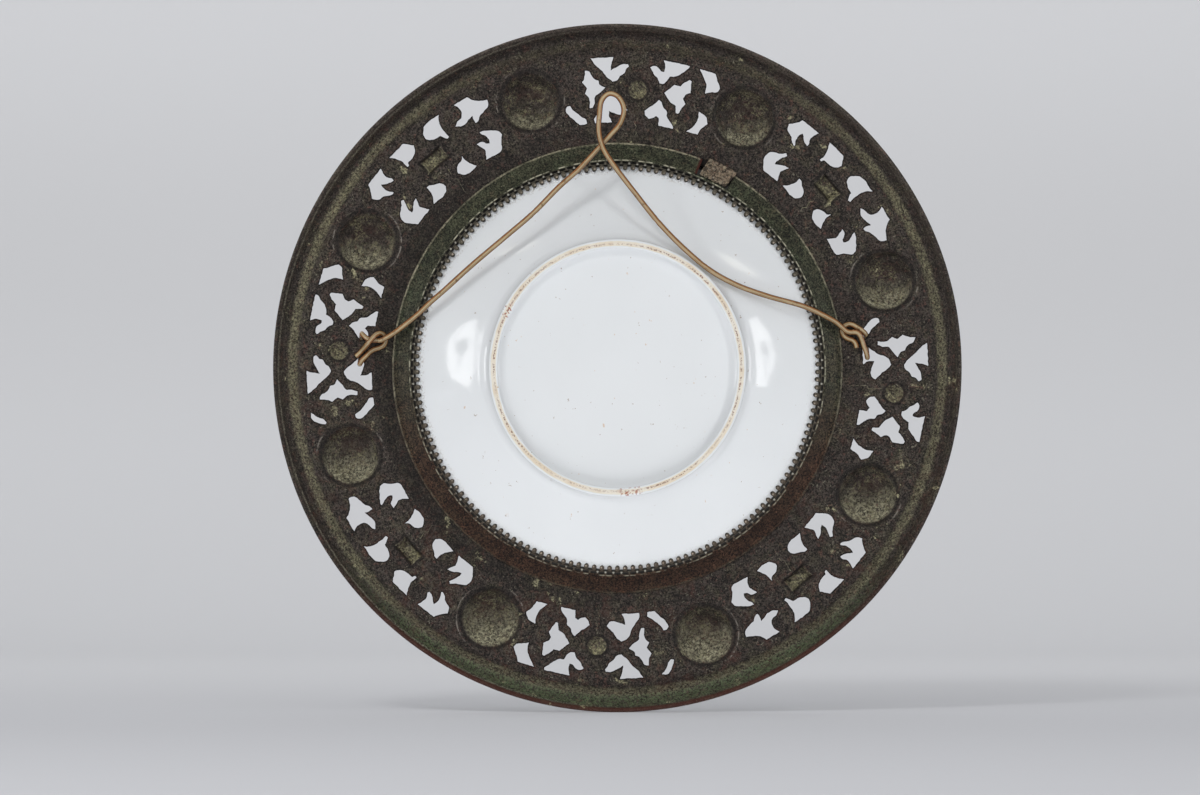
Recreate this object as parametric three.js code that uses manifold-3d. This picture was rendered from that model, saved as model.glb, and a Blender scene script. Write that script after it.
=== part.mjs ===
// A wall plate: a glazed porcelain plate held in a pierced cast metal rim. A toothed gallery strip is
// bent over the plate's back, a short splice closes the strip, and a stiff wire tied through the rim
// hangs the plate. Millimetres, +Z up. The plate stands on edge with its axis along Y: its back faces
// -Y and its display face +Y. Depths are given as "back", the distance behind the pierced band's back
// face, and angles in degrees clockwise from the top, as seen from behind.
import * as THREE from "three";
import { mergeVertices } from "three/addons/utils/BufferGeometryUtils.js";
import Module from "manifold-3d";

const wasm = await Module();
wasm.setup();

// Fits, and how far a cutting shape runs past what it cuts
const fitGap = 0.3;
const plateClearance = 0.5;
const cutMargin = 1;

// Metal rim
const rimRadius = 150;
const borderWidth = 13;
const coveDepth = 2.8;
const lipHeight = 2.6;
const lipWidth = 1.2;
const borderWall = 3.1;
const bandThickness = 1.8;
const seatDepth = 4.2;
const seatWidth = 6.4;
const mouldingWall = 2.5;
const mouldingWidth = 10.5;

// Pattern of the pierced band
const patternRadius = 121.3;
const patternTurn = 4.4;
const panelCount = 8;
const panelDrift = [-0.4, -0.2, 0.2, 0.4, 0.4, 0.3, -0.1, -0.5];

// Hollow bosses and studs, proud on the display side
const bossPlaceRadius = 122.3;
const bossRadius = 12.8;
const bossDepth = 8;
const bossWall = 1.6;
const studRadius = 4.5;
const studDepth = 2.6;
const studWall = 1.2;
const tabletLength = 11.3;
const tabletHeight = 7.3;

// Porcelain plate
const plateRadius = 94.9;
const plateHeight = 20.9;
const baseWall = 3.8;
const baseDish = 0.3;
const edgeWall = 2.5;
const edgeRounding = 0.7;
const shoulderWidth = 2.6;
const shoulderRise = 1.8;
const backBow = 0.7;
const footRadius = 55.2;
const footWidth = 2.6;
const footHeight = 3.8;
const footFillet = 2.6;
const footRounding = 0.6;
const footFlare = 4.3;
const wellRadius = 52;
const faceBow = 1.4;

// Gallery strip with its teeth
const stripThickness = 1;
const collarWidth = 7.6;
const collarHeight = 4.1;
const stripFootWidth = 1.8;
const stripLedge = 2.8;
const toothCount = 162;
const toothReach = 4.3;
const toothLength = 2.4;
const toothShare = 0.66;
const tipShare = 0.7;

// Splice that closes the strip
const spliceStart = 23.3;
const spliceEnd = 31.2;
const spliceGap = 1.1;
const spliceSeat = 0.6;
const spliceRise = 0.8;
const spliceOverhang = 1.8;

// Hanging wire
const wireDiameter = 2.3;
const wireSides = 8;
const freeSteps = 58;
const tieSteps = 30;

// Smoothness of the turned pieces
const rimSegments = 64;
const plateSegments = 48;
const collarSegments = 54;
const bossSegments = 16;
const domeRings = 3;
const coveSteps = 3;
const rollSteps = 6;
const wallSteps = 5;
const sectorSteps = 8;

// Values that follow from the driving dimensions
const frontmost = -(bossDepth + bossWall);
const seatBack = -seatDepth;
const plateFront = seatBack + fitGap;
const footGround = plateFront + plateHeight;
const baseBack = footGround - footHeight;
const middle = (footGround + frontmost) / 2;
const rebateRadius = plateRadius + plateClearance;
const seatRadius = rebateRadius - seatWidth;
const bandOuter = rimRadius - borderWidth;
const stripRadius = rebateRadius + stripLedge;
const collarTopRadius = stripRadius - collarWidth;
const toothTipRadius = collarTopRadius - toothReach;

// Outlines of the pierced holes: degrees from the panel's middle and millimetres from patternRadius.
const crossPanel = [
  { name: "outer hook", mirrored: true, outline: [
    [4.5, 14.2], [9.6, 13.8], [8.2, 10.1], [6.6, 5.9], [5.0, 3.7], [4.2, 4.3], [2.6, 8.4],
    [2.2, 10.4], [2.8, 11.1], [4.0, 8.7], [4.9, 9.3],
  ] },
  { name: "inner hook", mirrored: true, outline: [
    [4.5, -3.0], [6.0, -5.7], [7.1, -9.5], [9.1, -14.2], [5.7, -14.1], [5.1, -11.2], [4.5, -10.1],
    [3.6, -11.1], [2.9, -11.7], [2.1, -9.0], [2.5, -7.5], [3.9, -5.0],
  ] },
  { name: "leaf", mirrored: true, outline: [
    [10.3, 7.9], [10.7, 2.8], [9.7, 0.8], [10.7, -2.6], [9.4, -7.2], [8.5, -3.9], [7.2, -3.4],
    [5.5, 0.4], [7.4, 4.7], [8.9, 5.1],
  ] },
  { name: "wide outer sliver", outline: [
    [11.5, 13.3], [14.4, 13.3], [16.2, 7.9], [15.9, 5.6], [13.9, 3.9], [13.6, 7.0], [12.7, 10.1],
  ] },
  { name: "wide inner sliver", outline: [
    [13.3, -3.6], [15.7, -4.9], [16.3, -7.8], [15.3, -11.0], [14.6, -13.9], [12.5, -13.9],
    [13.6, -10.1], [13.8, -6.9],
  ] },
  { name: "narrow outer sliver", outline: [
    [-12.3, 13.4], [-12.8, 10.4], [-13.8, 7.3], [-15.1, 7.3], [-14.4, 10.4], [-13.5, 13.6],
  ] },
  { name: "narrow inner sliver", outline: [
    [-14.3, -5.1], [-13.6, -7.3], [-12.4, -9.7], [-11.0, -12.1], [-11.0, -14.2], [-12.3, -14.2],
    [-13.2, -12.8], [-14.3, -9.7], [-15.3, -5.6],
  ] },
];
const tabletPanel = [
  { name: "outer claw", mirrored: true, outline: [
    [9.2, 13.6], [12.0, 13.6], [12.9, 11.2], [15.2, 9.0], [14.8, 6.4], [12.3, 4.0], [11.4, 1.2],
    [11.1, 5.2], [10.0, 5.3], [8.6, 3.6], [7.2, 4.8], [7.4, 6.5], [9.1, 7.2], [9.6, 10.4],
  ] },
  { name: "inner claw", mirrored: true, outline: [
    [10.3, -1.7], [12.3, -2.6], [14.6, -6.8], [13.8, -10.4], [13.1, -14.2], [8.6, -14.2],
    [9.5, -10.4], [8.9, -6.0], [9.9, -6.1], [11.4, -8.2], [11.4, -4.2],
  ] },
  { name: "outer shield", mirrored: true, outline: [
    [2.1, 13.6], [6.0, 13.6], [5.3, 10.6], [5.0, 3.5], [4.4, 3.5], [3.9, 6.0], [2.0, 6.3],
    [1.0, 8.9], [1.3, 10.8],
  ] },
  { name: "inner shield", mirrored: true, outline: [
    [4.8, -5.2], [5.3, -5.6], [5.5, -9.6], [6.5, -14.2], [3.5, -14.2], [2.1, -12.2], [2.3, -10.2],
    [4.0, -8.4],
  ] },
];

// Slivers that the casting left filled, by panel, counted clockwise from the top.
const filledHoles = [[0, "narrow outer sliver"], [2, "narrow outer sliver"], [2, "wide outer sliver"]];

// The wire's points as x, z and back. It swings about the line from its first point to its last.
const freeRoute = [
  [-104.4, 12.0, 4.2], [-103.2, 12.02, 4.2], [-100.6, 13.2, 4.3], [-96.9, 15.5, 4.8],
  [-91.5, 19.6, 5.8], [-86.6, 23.6, 7.0], [-81.6, 28.3, 8.3], [-75.4, 33.6, 10.2],
  [-62.9, 44.8, 13.6], [-49.2, 56.3, 16.4], [-36.7, 66.9, 18.2], [-25.2, 78.5, 19.2],
  [-16.5, 86.3, 19.6], [-9.1, 94.2, 19.8], [-3.4, 100.5, 20.0], [1.4, 106.4, 20.3],
  [2.7, 112.5, 20.9], [0.0, 117.5, 21.6], [-3.7, 118.6, 22.0], [-6.7, 115.9, 22.3],
  [-7.8, 109.8, 22.6], [-8.0, 102.0, 22.8], [-6.3, 95.2, 22.9], [-1.9, 88.1, 22.7],
  [6.6, 76.9, 22.0], [18.7, 61.9, 20.6], [30.2, 50.4, 19.0], [40.1, 42.3, 17.6],
  [51.3, 36.1, 15.6], [65.0, 31.2, 12.6], [80.0, 27.1, 9.2], [86.2, 24.6, 7.7],
  [91.9, 21.8, 6.3], [95.2, 19.9, 5.3], [97.8, 17.7, 4.6], [99.6, 16.1, 4.25],
  [101.0, 15.58, 4.2], [102.0, 15.6, 4.2],
];
const leftTieRoute = [
  [-104.7, 11.99, 4.2], [-106.2, 11.97, 4.15], [-108.4, 12.5, 3.5], [-110.2, 13.7, 2.3],
  [-111.2, 14.7, 0.7], [-111.4, 14.9, -1.1], [-111.5, 14.0, -2.8], [-111.6, 12.0, -3.4],
  [-112.0, 4.9, -3.45], [-112.2, 2.7, -2.8], [-112.3, 1.8, -1.2], [-112.1, 2.1, 0.5],
  [-111.2, 3.5, 1.6], [-109.4, 5.3, 1.7], [-107.8, 7.0, 1.6], [-105.9, 8.2, 1.5],
  [-103.8, 8.8, 1.5], [-101.9, 9.9, 1.5], [-101.0, 11.9, 1.5], [-101.5, 14.0, 1.6],
  [-103.1, 15.1, 2.9], [-105.0, 14.5, 5.2], [-106.7, 12.7, 7.0], [-108.3, 10.8, 6.2],
  [-109.8, 9.1, 4.0], [-111.3, 7.5, 2.0], [-112.6, 6.2, 1.5], [-113.8, 5.1, 1.5],
];
const rightTieRoute = [
  [102.3, 15.61, 4.2], [103.8, 15.6, 4.2], [105.3, 14.7, 3.9], [106.5, 12.3, 2.8],
  [107.5, 9.4, 2.2], [108.4, 6.9, 1.7], [108.9, 5.2, 0.6], [109.0, 4.5, -1.1],
  [108.9, 5.4, -2.8], [108.7, 7.6, -3.45], [108.4, 11.8, -3.45], [108.2, 13.8, -2.8],
  [108.1, 14.5, -1.2], [108.1, 14.8, 0.6], [107.3, 15.7, 1.7], [105.0, 17.3, 1.9],
  [101.6, 19.0, 1.6], [99.2, 18.4, 1.5], [98.0, 16.4, 1.5], [98.8, 14.1, 1.5],
  [100.7, 12.8, 1.5], [102.6, 12.1, 1.5], [103.9, 10.6, 1.5], [104.3, 8.9, 1.5],
];

// Shapes

function closedSolid(geometry) {
  const bare = geometry.clone();
  bare.deleteAttribute("normal");
  bare.deleteAttribute("uv");
  const merged = mergeVertices(bare, 1e-4);
  const vertProperties = new Float32Array(merged.attributes.position.array);
  const triVerts = new Uint32Array(merged.index.array);
  return new wasm.Manifold(new wasm.Mesh({ numProp: 3, vertProperties, triVerts }));
}

function geometryOf(solid) {
  const mesh = solid.getMesh();
  const geometry = new THREE.BufferGeometry();
  geometry.setAttribute("position", new THREE.BufferAttribute(new Float32Array(mesh.vertProperties), 3));
  geometry.setIndex(new THREE.BufferAttribute(new Uint32Array(mesh.triVerts), 1));
  geometry.computeVertexNormals();
  return geometry;
}

// A point of the plate's plane, from its angle and radius.
function polar(degrees, radius) {
  const angle = THREE.MathUtils.degToRad(degrees);
  return new THREE.Vector2(radius * Math.sin(angle), radius * Math.cos(angle));
}

// A ring or disc turned about the plate's axis; the profile runs so that its faces point out.
function turned(profile, segments) {
  const points = profile.map(([radius, back]) => new THREE.Vector2(radius, middle - back));
  if (THREE.ShapeUtils.area(points) < 0) points.reverse();
  points.push(points[0].clone());
  return new THREE.LatheGeometry(points, segments);
}

// A straight prism over an outline of the plate's plane, from one depth to another.
function prism(outline, front, back) {
  const geometry = new THREE.ExtrudeGeometry(new THREE.Shape(outline), {
    depth: back - front,
    bevelEnabled: false,
  });
  geometry.rotateX(Math.PI / 2);
  geometry.translate(0, middle - front, 0);
  return geometry;
}

// A sector of a ring, as a prism.
function sector(innerRadius, outerRadius, start, end, front, back) {
  const outline = [];
  for (let i = 0; i <= sectorSteps; i++) {
    outline.push(polar(start + ((end - start) * i) / sectorSteps, outerRadius));
  }
  for (let i = sectorSteps; i >= 0; i--) {
    outline.push(polar(start + ((end - start) * i) / sectorSteps, innerRadius));
  }
  return prism(outline, front, back);
}

// A dome in front of the band: a spherical cap of the given radius and height, closed by a neck that
// ends at the depth neckBack.
function dome(radius, height, neckBack) {
  const ball = (radius * radius + height * height) / (2 * height);
  const widest = Math.asin(radius / ball);
  const points = [new THREE.Vector2(0, middle - neckBack), new THREE.Vector2(radius, middle - neckBack)];
  for (let i = 0; i < domeRings; i++) {
    const angle = widest * (1 - i / domeRings);
    const depth = height - ball * (1 - Math.cos(angle));
    points.push(new THREE.Vector2(ball * Math.sin(angle), middle + depth));
  }
  points.push(new THREE.Vector2(0, middle + height));
  return new THREE.LatheGeometry(points, bossSegments);
}

function box(length, height, front, back) {
  const geometry = new THREE.BoxGeometry(length, back - front, height);
  geometry.translate(0, middle - (front + back) / 2, 0);
  return geometry;
}

// A round wire along a route, with flat ends.
function wire(route, steps) {
  const points = route.map(([x, z, back]) => new THREE.Vector3(x, middle - back, z));
  const section = new THREE.Shape();
  for (let i = 0; i < wireSides; i++) {
    const angle = (2 * Math.PI * i) / wireSides;
    const x = (wireDiameter / 2) * Math.cos(angle);
    const y = (wireDiameter / 2) * Math.sin(angle);
    if (i === 0) section.moveTo(x, y);
    else section.lineTo(x, y);
  }
  return new THREE.ExtrudeGeometry(section, {
    steps,
    bevelEnabled: false,
    extrudePath: new THREE.CatmullRomCurve3(points, false, "centripetal"),
  });
}

// A bowed line in a section: it leaves the straight line by up to half of "bow" toward the back.
function bowedLine(start, end, bow) {
  const bend = start.clone().lerp(end, 0.5);
  bend.y += bow;
  return new THREE.QuadraticBezierCurve(start, bend, end);
}

// The porcelain's back, from the foot's root out to the shoulder under the edge
const backLine = bowedLine(
  new THREE.Vector2(footRadius + footFlare, baseBack),
  new THREE.Vector2(plateRadius - shoulderWidth, plateFront + edgeWall + shoulderRise),
  -backBow,
);

function plateBack(radius) {
  const { v0, v2 } = backLine;
  return backLine.getPoint((radius - v0.x) / (v2.x - v0.x)).y;
}

// The porcelain plate, from the middle of its back outward and home along its display face
function platePiece() {
  const footInner = footRadius - footWidth;
  const profile = [
    [0, baseBack - baseDish],
    [footInner - footFillet, baseBack],
    [footInner - footFillet / 3, baseBack + footFillet / 3],
    [footInner - footRounding, footGround - footRounding],
    [footInner, footGround],
    [footRadius, footGround],
    [footRadius + footRounding, footGround - footRounding],
    [footRadius + footFlare / 2, baseBack + footFillet / 2],
  ];
  for (const point of backLine.getPoints(wallSteps)) profile.push([point.x, point.y]);
  profile.push([plateRadius, plateFront + edgeWall]);
  profile.push([plateRadius, plateFront + edgeRounding]);
  const edge = new THREE.Vector2(plateRadius - edgeRounding, plateFront);
  const well = new THREE.Vector2(wellRadius, baseBack - baseWall);
  for (const point of bowedLine(edge, well, faceBow).getPoints(wallSteps)) {
    profile.push([point.x, point.y]);
  }
  profile.push([0, baseBack - baseDish - baseWall]);
  const points = profile.map(([radius, back]) => new THREE.Vector2(radius, middle - back));
  return new THREE.LatheGeometry(points, plateSegments);
}

// Part of an ellipse in the rim's section, bulging to the front
function rolledFront(innerRadius, outerRadius, base, height) {
  const points = [];
  for (let i = 0; i < rollSteps; i++) {
    const angle = (Math.PI * i) / rollSteps;
    const radius = (outerRadius + innerRadius + (outerRadius - innerRadius) * Math.cos(angle)) / 2;
    points.push([radius, base - height * Math.sin(angle)]);
  }
  return points;
}

// Section of the cast rim: seat, rebate, flat band, coved border with its lip, and the rolled front
function rimProfile() {
  const coveMiddle = rimRadius - borderWidth / 2;
  const coveOuter = rimRadius - lipWidth;
  const profile = [[seatRadius, seatBack], [rebateRadius, seatBack], [rebateRadius, 0], [bandOuter, 0]];
  for (let i = 1; i <= coveSteps; i++) {
    const t = i / coveSteps;
    const sink = (coveDepth * (1 - Math.cos(Math.PI * t))) / 2;
    profile.push([bandOuter + (coveMiddle - bandOuter) * t, -sink]);
  }
  for (let i = 1; i <= coveSteps; i++) {
    const t = i / coveSteps;
    const rise = (coveDepth + lipHeight) * (1 - Math.cos((Math.PI / 2) * t));
    profile.push([coveMiddle + (coveOuter - coveMiddle) * t, rise - coveDepth]);
  }
  profile.push([rimRadius, lipHeight - lipWidth / 4]);
  profile.push(...rolledFront(bandOuter, rimRadius, 0, coveDepth + borderWall));
  profile.push([bandOuter, -bandThickness]);
  const mouldingHeight = seatDepth + mouldingWall - bandThickness;
  profile.push(...rolledFront(seatRadius, seatRadius + mouldingWidth, -bandThickness, mouldingHeight));
  return profile;
}

function holeOutline(outline, turn, mirror) {
  return outline.map(([degrees, offset]) => polar(turn + mirror * degrees, patternRadius + offset));
}

// The pierced rim: the turned casting with its hollow bosses and studs, less the holes
function rimPiece() {
  let rim = closedSolid(turned(rimProfile(), rimSegments));
  const hollows = [];
  const pitch = 360 / panelCount;
  for (let i = 0; i < panelCount; i++) {
    const boss = polar(patternTurn + pitch * (i + 0.5), bossPlaceRadius);
    const outer = dome(bossRadius + bossWall, bossDepth + bossWall, -bandThickness / 2);
    const inner = dome(bossRadius, bossDepth, cutMargin);
    outer.translate(boss.x, 0, boss.y);
    inner.translate(boss.x, 0, boss.y);
    rim = rim.add(closedSolid(outer));
    hollows.push(closedSolid(inner));
  }
  for (let i = 0; i < panelCount; i++) {
    const turn = patternTurn + panelDrift[i % panelDrift.length] + pitch * i;
    const stud = polar(turn, patternRadius);
    const round = i % 2 === 0;
    const front = -(studDepth + studWall);
    let outer;
    let inner;
    if (round) {
      outer = dome(studRadius + studWall, studDepth + studWall, -bandThickness / 2);
      inner = dome(studRadius, studDepth, cutMargin);
    } else {
      outer = box(tabletLength + 2 * studWall, tabletHeight + 2 * studWall, front, -bandThickness / 2);
      inner = box(tabletLength, tabletHeight, -studDepth, cutMargin);
      outer.rotateY(THREE.MathUtils.degToRad(turn));
      inner.rotateY(THREE.MathUtils.degToRad(turn));
    }
    outer.translate(stud.x, 0, stud.y);
    inner.translate(stud.x, 0, stud.y);
    rim = rim.add(closedSolid(outer));
    hollows.push(closedSolid(inner));
    for (const hole of round ? crossPanel : tabletPanel) {
      if (filledHoles.some(([panel, name]) => panel === i && name === hole.name)) continue;
      for (const mirror of hole.mirrored ? [1, -1] : [1]) {
        const outline = holeOutline(hole.outline, turn, mirror);
        hollows.push(closedSolid(prism(outline, -bandThickness - cutMargin, cutMargin)));
      }
    }
  }
  for (const hollow of hollows) rim = rim.subtract(hollow);
  return geometryOf(rim);
}

// The gallery strip: a coned collar that stands on the band, and teeth that reach over the porcelain
function stripPiece() {
  const flangeFront = plateBack(toothTipRadius) + fitGap;
  const collarBack = fitGap + collarHeight;
  const rootRadius = toothTipRadius + toothLength;
  const collar = turned([
    [stripRadius, fitGap],
    [collarTopRadius, collarBack],
    [collarTopRadius - stripThickness, collarBack],
    [collarTopRadius - stripThickness, flangeFront],
    [collarTopRadius, flangeFront],
    [stripRadius - stripFootWidth, fitGap],
  ], collarSegments);
  const flangeOutline = [];
  const toothedOutline = [];
  const pitch = 360 / toothCount;
  const half = (pitch * toothShare) / 2;
  for (let i = 0; i < collarSegments; i++) {
    flangeOutline.push(polar((360 * i) / collarSegments, collarTopRadius - stripThickness / 2));
  }
  for (let i = 0; i < toothCount; i++) {
    toothedOutline.push(
      polar(pitch * i - half, rootRadius),
      polar(pitch * i - half * tipShare, toothTipRadius),
      polar(pitch * i + half * tipShare, toothTipRadius),
      polar(pitch * i + half, rootRadius),
    );
  }
  const flange = new THREE.Shape(flangeOutline);
  flange.holes.push(new THREE.Path(toothedOutline.reverse()));
  const toothed = new THREE.ExtrudeGeometry(flange, { depth: stripThickness, bevelEnabled: false });
  toothed.rotateX(Math.PI / 2);
  toothed.translate(0, middle - flangeFront, 0);
  const endAngle = THREE.MathUtils.radToDeg(fitGap / stripRadius);
  const opening = sector(
    collarTopRadius + spliceSeat,
    stripRadius + cutMargin,
    spliceStart - spliceGap,
    spliceEnd + endAngle,
    0,
    collarBack + cutMargin,
  );
  const strip = closedSolid(collar).add(closedSolid(toothed)).subtract(closedSolid(opening));
  return geometryOf(strip);
}

// The splice: a short piece of the collar's section, proud of it, that fills the strip's opening
function splicePiece() {
  const inner = collarTopRadius + spliceSeat + fitGap;
  const outer = stripRadius + spliceOverhang;
  const collarBack = fitGap + collarHeight;
  const ring = turned([
    [outer, fitGap],
    [outer, fitGap + spliceRise],
    [stripRadius, fitGap + 2 * spliceRise],
    [inner + spliceRise, collarBack + spliceRise],
    [inner, collarBack + spliceRise],
    [inner, collarBack - stripThickness],
    [stripRadius - stripFootWidth, fitGap],
  ], toothCount);
  const back = collarBack + spliceRise + cutMargin;
  const slice = sector(inner - cutMargin, outer + cutMargin, spliceStart, spliceEnd, 0, back);
  return geometryOf(closedSolid(ring).intersect(closedSolid(slice)));
}

// Finishes
const porcelain = { color: 0xe6eaec, roughness: 0.12, metalness: 0 };
const agedCasting = { color: 0x3f3a30, roughness: 0.55, metalness: 0.6 };
const agedStrip = { color: 0x3c3d2e, roughness: 0.6, metalness: 0.5 };
const solderedSplice = { color: 0x6a5f49, roughness: 0.7, metalness: 0.4 };
const tanWire = { color: 0xb08a58, roughness: 0.3, metalness: 0 };

const plate = new THREE.Group();

function addPiece(name, geometry, finish) {
  const mesh = new THREE.Mesh(geometry, new THREE.MeshStandardMaterial(finish));
  mesh.name = name;
  plate.add(mesh);
}

addPiece("porcelain_plate", platePiece(), porcelain);
addPiece("pierced_rim", rimPiece(), agedCasting);
addPiece("gallery_strip", stripPiece(), agedStrip);
addPiece("strip_splice", splicePiece(), solderedSplice);
addPiece("hanging_wire", wire(freeRoute, freeSteps), tanWire);
addPiece("left_wire_tie", wire(leftTieRoute, tieSteps), tanWire);
addPiece("right_wire_tie", wire(rightTieRoute, tieSteps), tanWire);

export default plate;
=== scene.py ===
"""A wall plate: a glazed porcelain dish in a pierced cast rim, held by a toothed strip with a soldered
splice, and hung by a stiff wire tied through the rim. Shapes are worked out in millimetres and become
metres when their mesh is made. Depths are "back", the distance behind the pierced band's back face,
and angles are degrees clockwise from the top as seen from behind.
"""

import math

import bpy
import numpy as np
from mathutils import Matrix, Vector
from mathutils.geometry import delaunay_2d_cdt


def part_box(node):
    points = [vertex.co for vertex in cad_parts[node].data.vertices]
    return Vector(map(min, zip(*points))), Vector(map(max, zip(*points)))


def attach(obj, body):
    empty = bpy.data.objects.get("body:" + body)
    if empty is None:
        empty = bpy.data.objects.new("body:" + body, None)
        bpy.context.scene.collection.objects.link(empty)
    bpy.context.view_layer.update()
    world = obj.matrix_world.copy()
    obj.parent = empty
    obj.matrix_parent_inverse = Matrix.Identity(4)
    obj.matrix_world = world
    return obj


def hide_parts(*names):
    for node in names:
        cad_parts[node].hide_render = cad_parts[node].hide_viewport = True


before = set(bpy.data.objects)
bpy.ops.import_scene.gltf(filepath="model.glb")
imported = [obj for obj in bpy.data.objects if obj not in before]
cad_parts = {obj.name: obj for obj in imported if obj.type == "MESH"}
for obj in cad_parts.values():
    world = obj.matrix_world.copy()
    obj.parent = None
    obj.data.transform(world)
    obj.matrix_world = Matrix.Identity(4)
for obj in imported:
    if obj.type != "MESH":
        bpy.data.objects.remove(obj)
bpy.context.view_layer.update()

MM = 0.001

# Sizes that the frame gives
rim_low, rim_high = (np.array(corner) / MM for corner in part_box("pierced_rim"))
plate_low, plate_high = (np.array(corner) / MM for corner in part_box("porcelain_plate"))
RIM_RADIUS = (rim_high[0] - rim_low[0]) / 2
PLATE_RADIUS = (plate_high[0] - plate_low[0]) / 2
FOOT_GROUND = 17.0
PLATE_FRONT = FOOT_GROUND - (plate_high[1] - plate_low[1])
MIDDLE = FOOT_GROUND + plate_low[1]

# Cast rim
BAND_INNER = 99.5
BAND_OUTER = 137.3
BAND_THICKNESS = 1.8
COVE_START = 137.0
COVE_MIDDLE = 143.5
COVE_OUTER = 148.8
COVE_DEPTH = 2.8
LIP_HEIGHT = 2.6
ROLL_DEPTH = 5.9
SEAT_RADIUS = 89.0
REBATE_RADIUS = 95.4
SEAT_DEPTH = 4.2
MOULDING_DEPTH = 4.9
RIM_COLUMNS = 400

# Pattern of the band
PATTERN_RADIUS = 121.3
PATTERN_TURN = 4.4
PANELS = 8
PITCH = 360 / PANELS
PANEL_DRIFT = [-0.3, 0.1, 0.0, -0.1, -0.1, -0.3, -0.1, -0.4]
STUD_PLACES = [
    (-0.2, 0.3), (0.0, -0.9), (0.8, -0.2), (-0.1, -0.4), (-0.2, 0.1), (-0.6, -0.3), (-0.8, 0.3), (-0.6, -0.6),
]
BOSS_PLACE_RADIUS = 122.3
BOSS_RADIUS = 12.8
BOSS_DEPTH = 8.0
BOSS_WALL = 1.6
BOSS_LEDGE = 0.45
BOSS_CREASE = 14.7
STUD_RADIUS = 4.4
STUD_DEPTH = 1.8
TABLET_LENGTH = 11.3
TABLET_HEIGHT = 7.3
TABLET_DEPTH = 2.1
CRUST_LENGTH = 12.7
CRUST_HEIGHT = 6.5
STUD_FRONT = 3.8
STUD_WALL = 1.2

# Mesh of the band
HOLE_STEP = 0.7
HOLE_OFFSETS = [0.35, 0.9]
HOLE_REACH = 3.0
EDGE_DROP = 0.3
CUSP_TURN = math.radians(48)
SAWN_WOBBLE = 0.10
GRID_STEP = 1.6
FINE_STEP = 0.55
BOSS_RINGS = [10.2, 10.9, 11.5, 12.0, 12.4, 12.8, 13.3, 14.0, 14.6, 15.2]
BOSS_RING_STEP = 1.15

# Porcelain
FOOT_RADIUS = 55.2
FOOT_WIDTH = 2.6
FOOT_HEIGHT = 3.8
BASE_DISH = 0.3
BASE_WALL = 3.8
FOOT_FILLET = 4.6
FOOT_FILLET_RISE = 2.9
FOOT_FLARE = 4.3
WELL_RADIUS = 52.0
SHOULDER = 2.6
EDGE_WALL = 2.5
SHOULDER_RISE = 1.8
BACK_BOW = 0.7
FACE_BOW = 1.4
PLATE_COLUMNS = 288

# Toothed strip
TOOTH_COUNT = 162
TOOTH_TIP = 86.3
TOOTH_ROOT = 88.75
SLOT_INNER = 89.0
SLOT_OUTER = 89.65
COLLAR_TOP = 90.6
COLLAR_FOOT = 98.2
COLLAR_HEIGHT = 4.1
FIT_GAP = 0.3
FOOT_GAP = 0.04
STRIP_FRONT = 2.8
SPLICE_CUT = 91.2
TOOTH_BACK = 3.78

# Columns of the net over one tooth, in shares of a tooth's pitch
TOOTH_STATIONS = [-0.5, -0.31, -0.16, 0.0, 0.16, 0.31]

# Rows of a tooth from root to tip: share of its length, share of its width, and how far its end rounds
TOOTH_ROWS = [(0.34, 0.93, 0.0), (0.66, 0.98, 0.0), (0.86, 0.86, 0.10), (0.96, 0.62, 0.34)]

# Where the collar is cut for the splice, in degrees
GAP_START = 22.2
GAP_END = 31.4

# Splice
SPLICE_START = 23.3
SPLICE_END = 31.1
SPLICE_CRACKS = [25.9, 28.6]
SPLICE_MIDDLE = 95
SPLICE_LEAN = 0.10
CRACK_DEPTH = 0.5
CRACK_WIDTH = 0.14
SPLICE_COLUMNS = 46
SPLICE_LOOP = 52

# Wire
WIRE_DIAMETER = 2.3
WIRE_SIDES = 16
WIRE_STEP = 0.75

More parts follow.
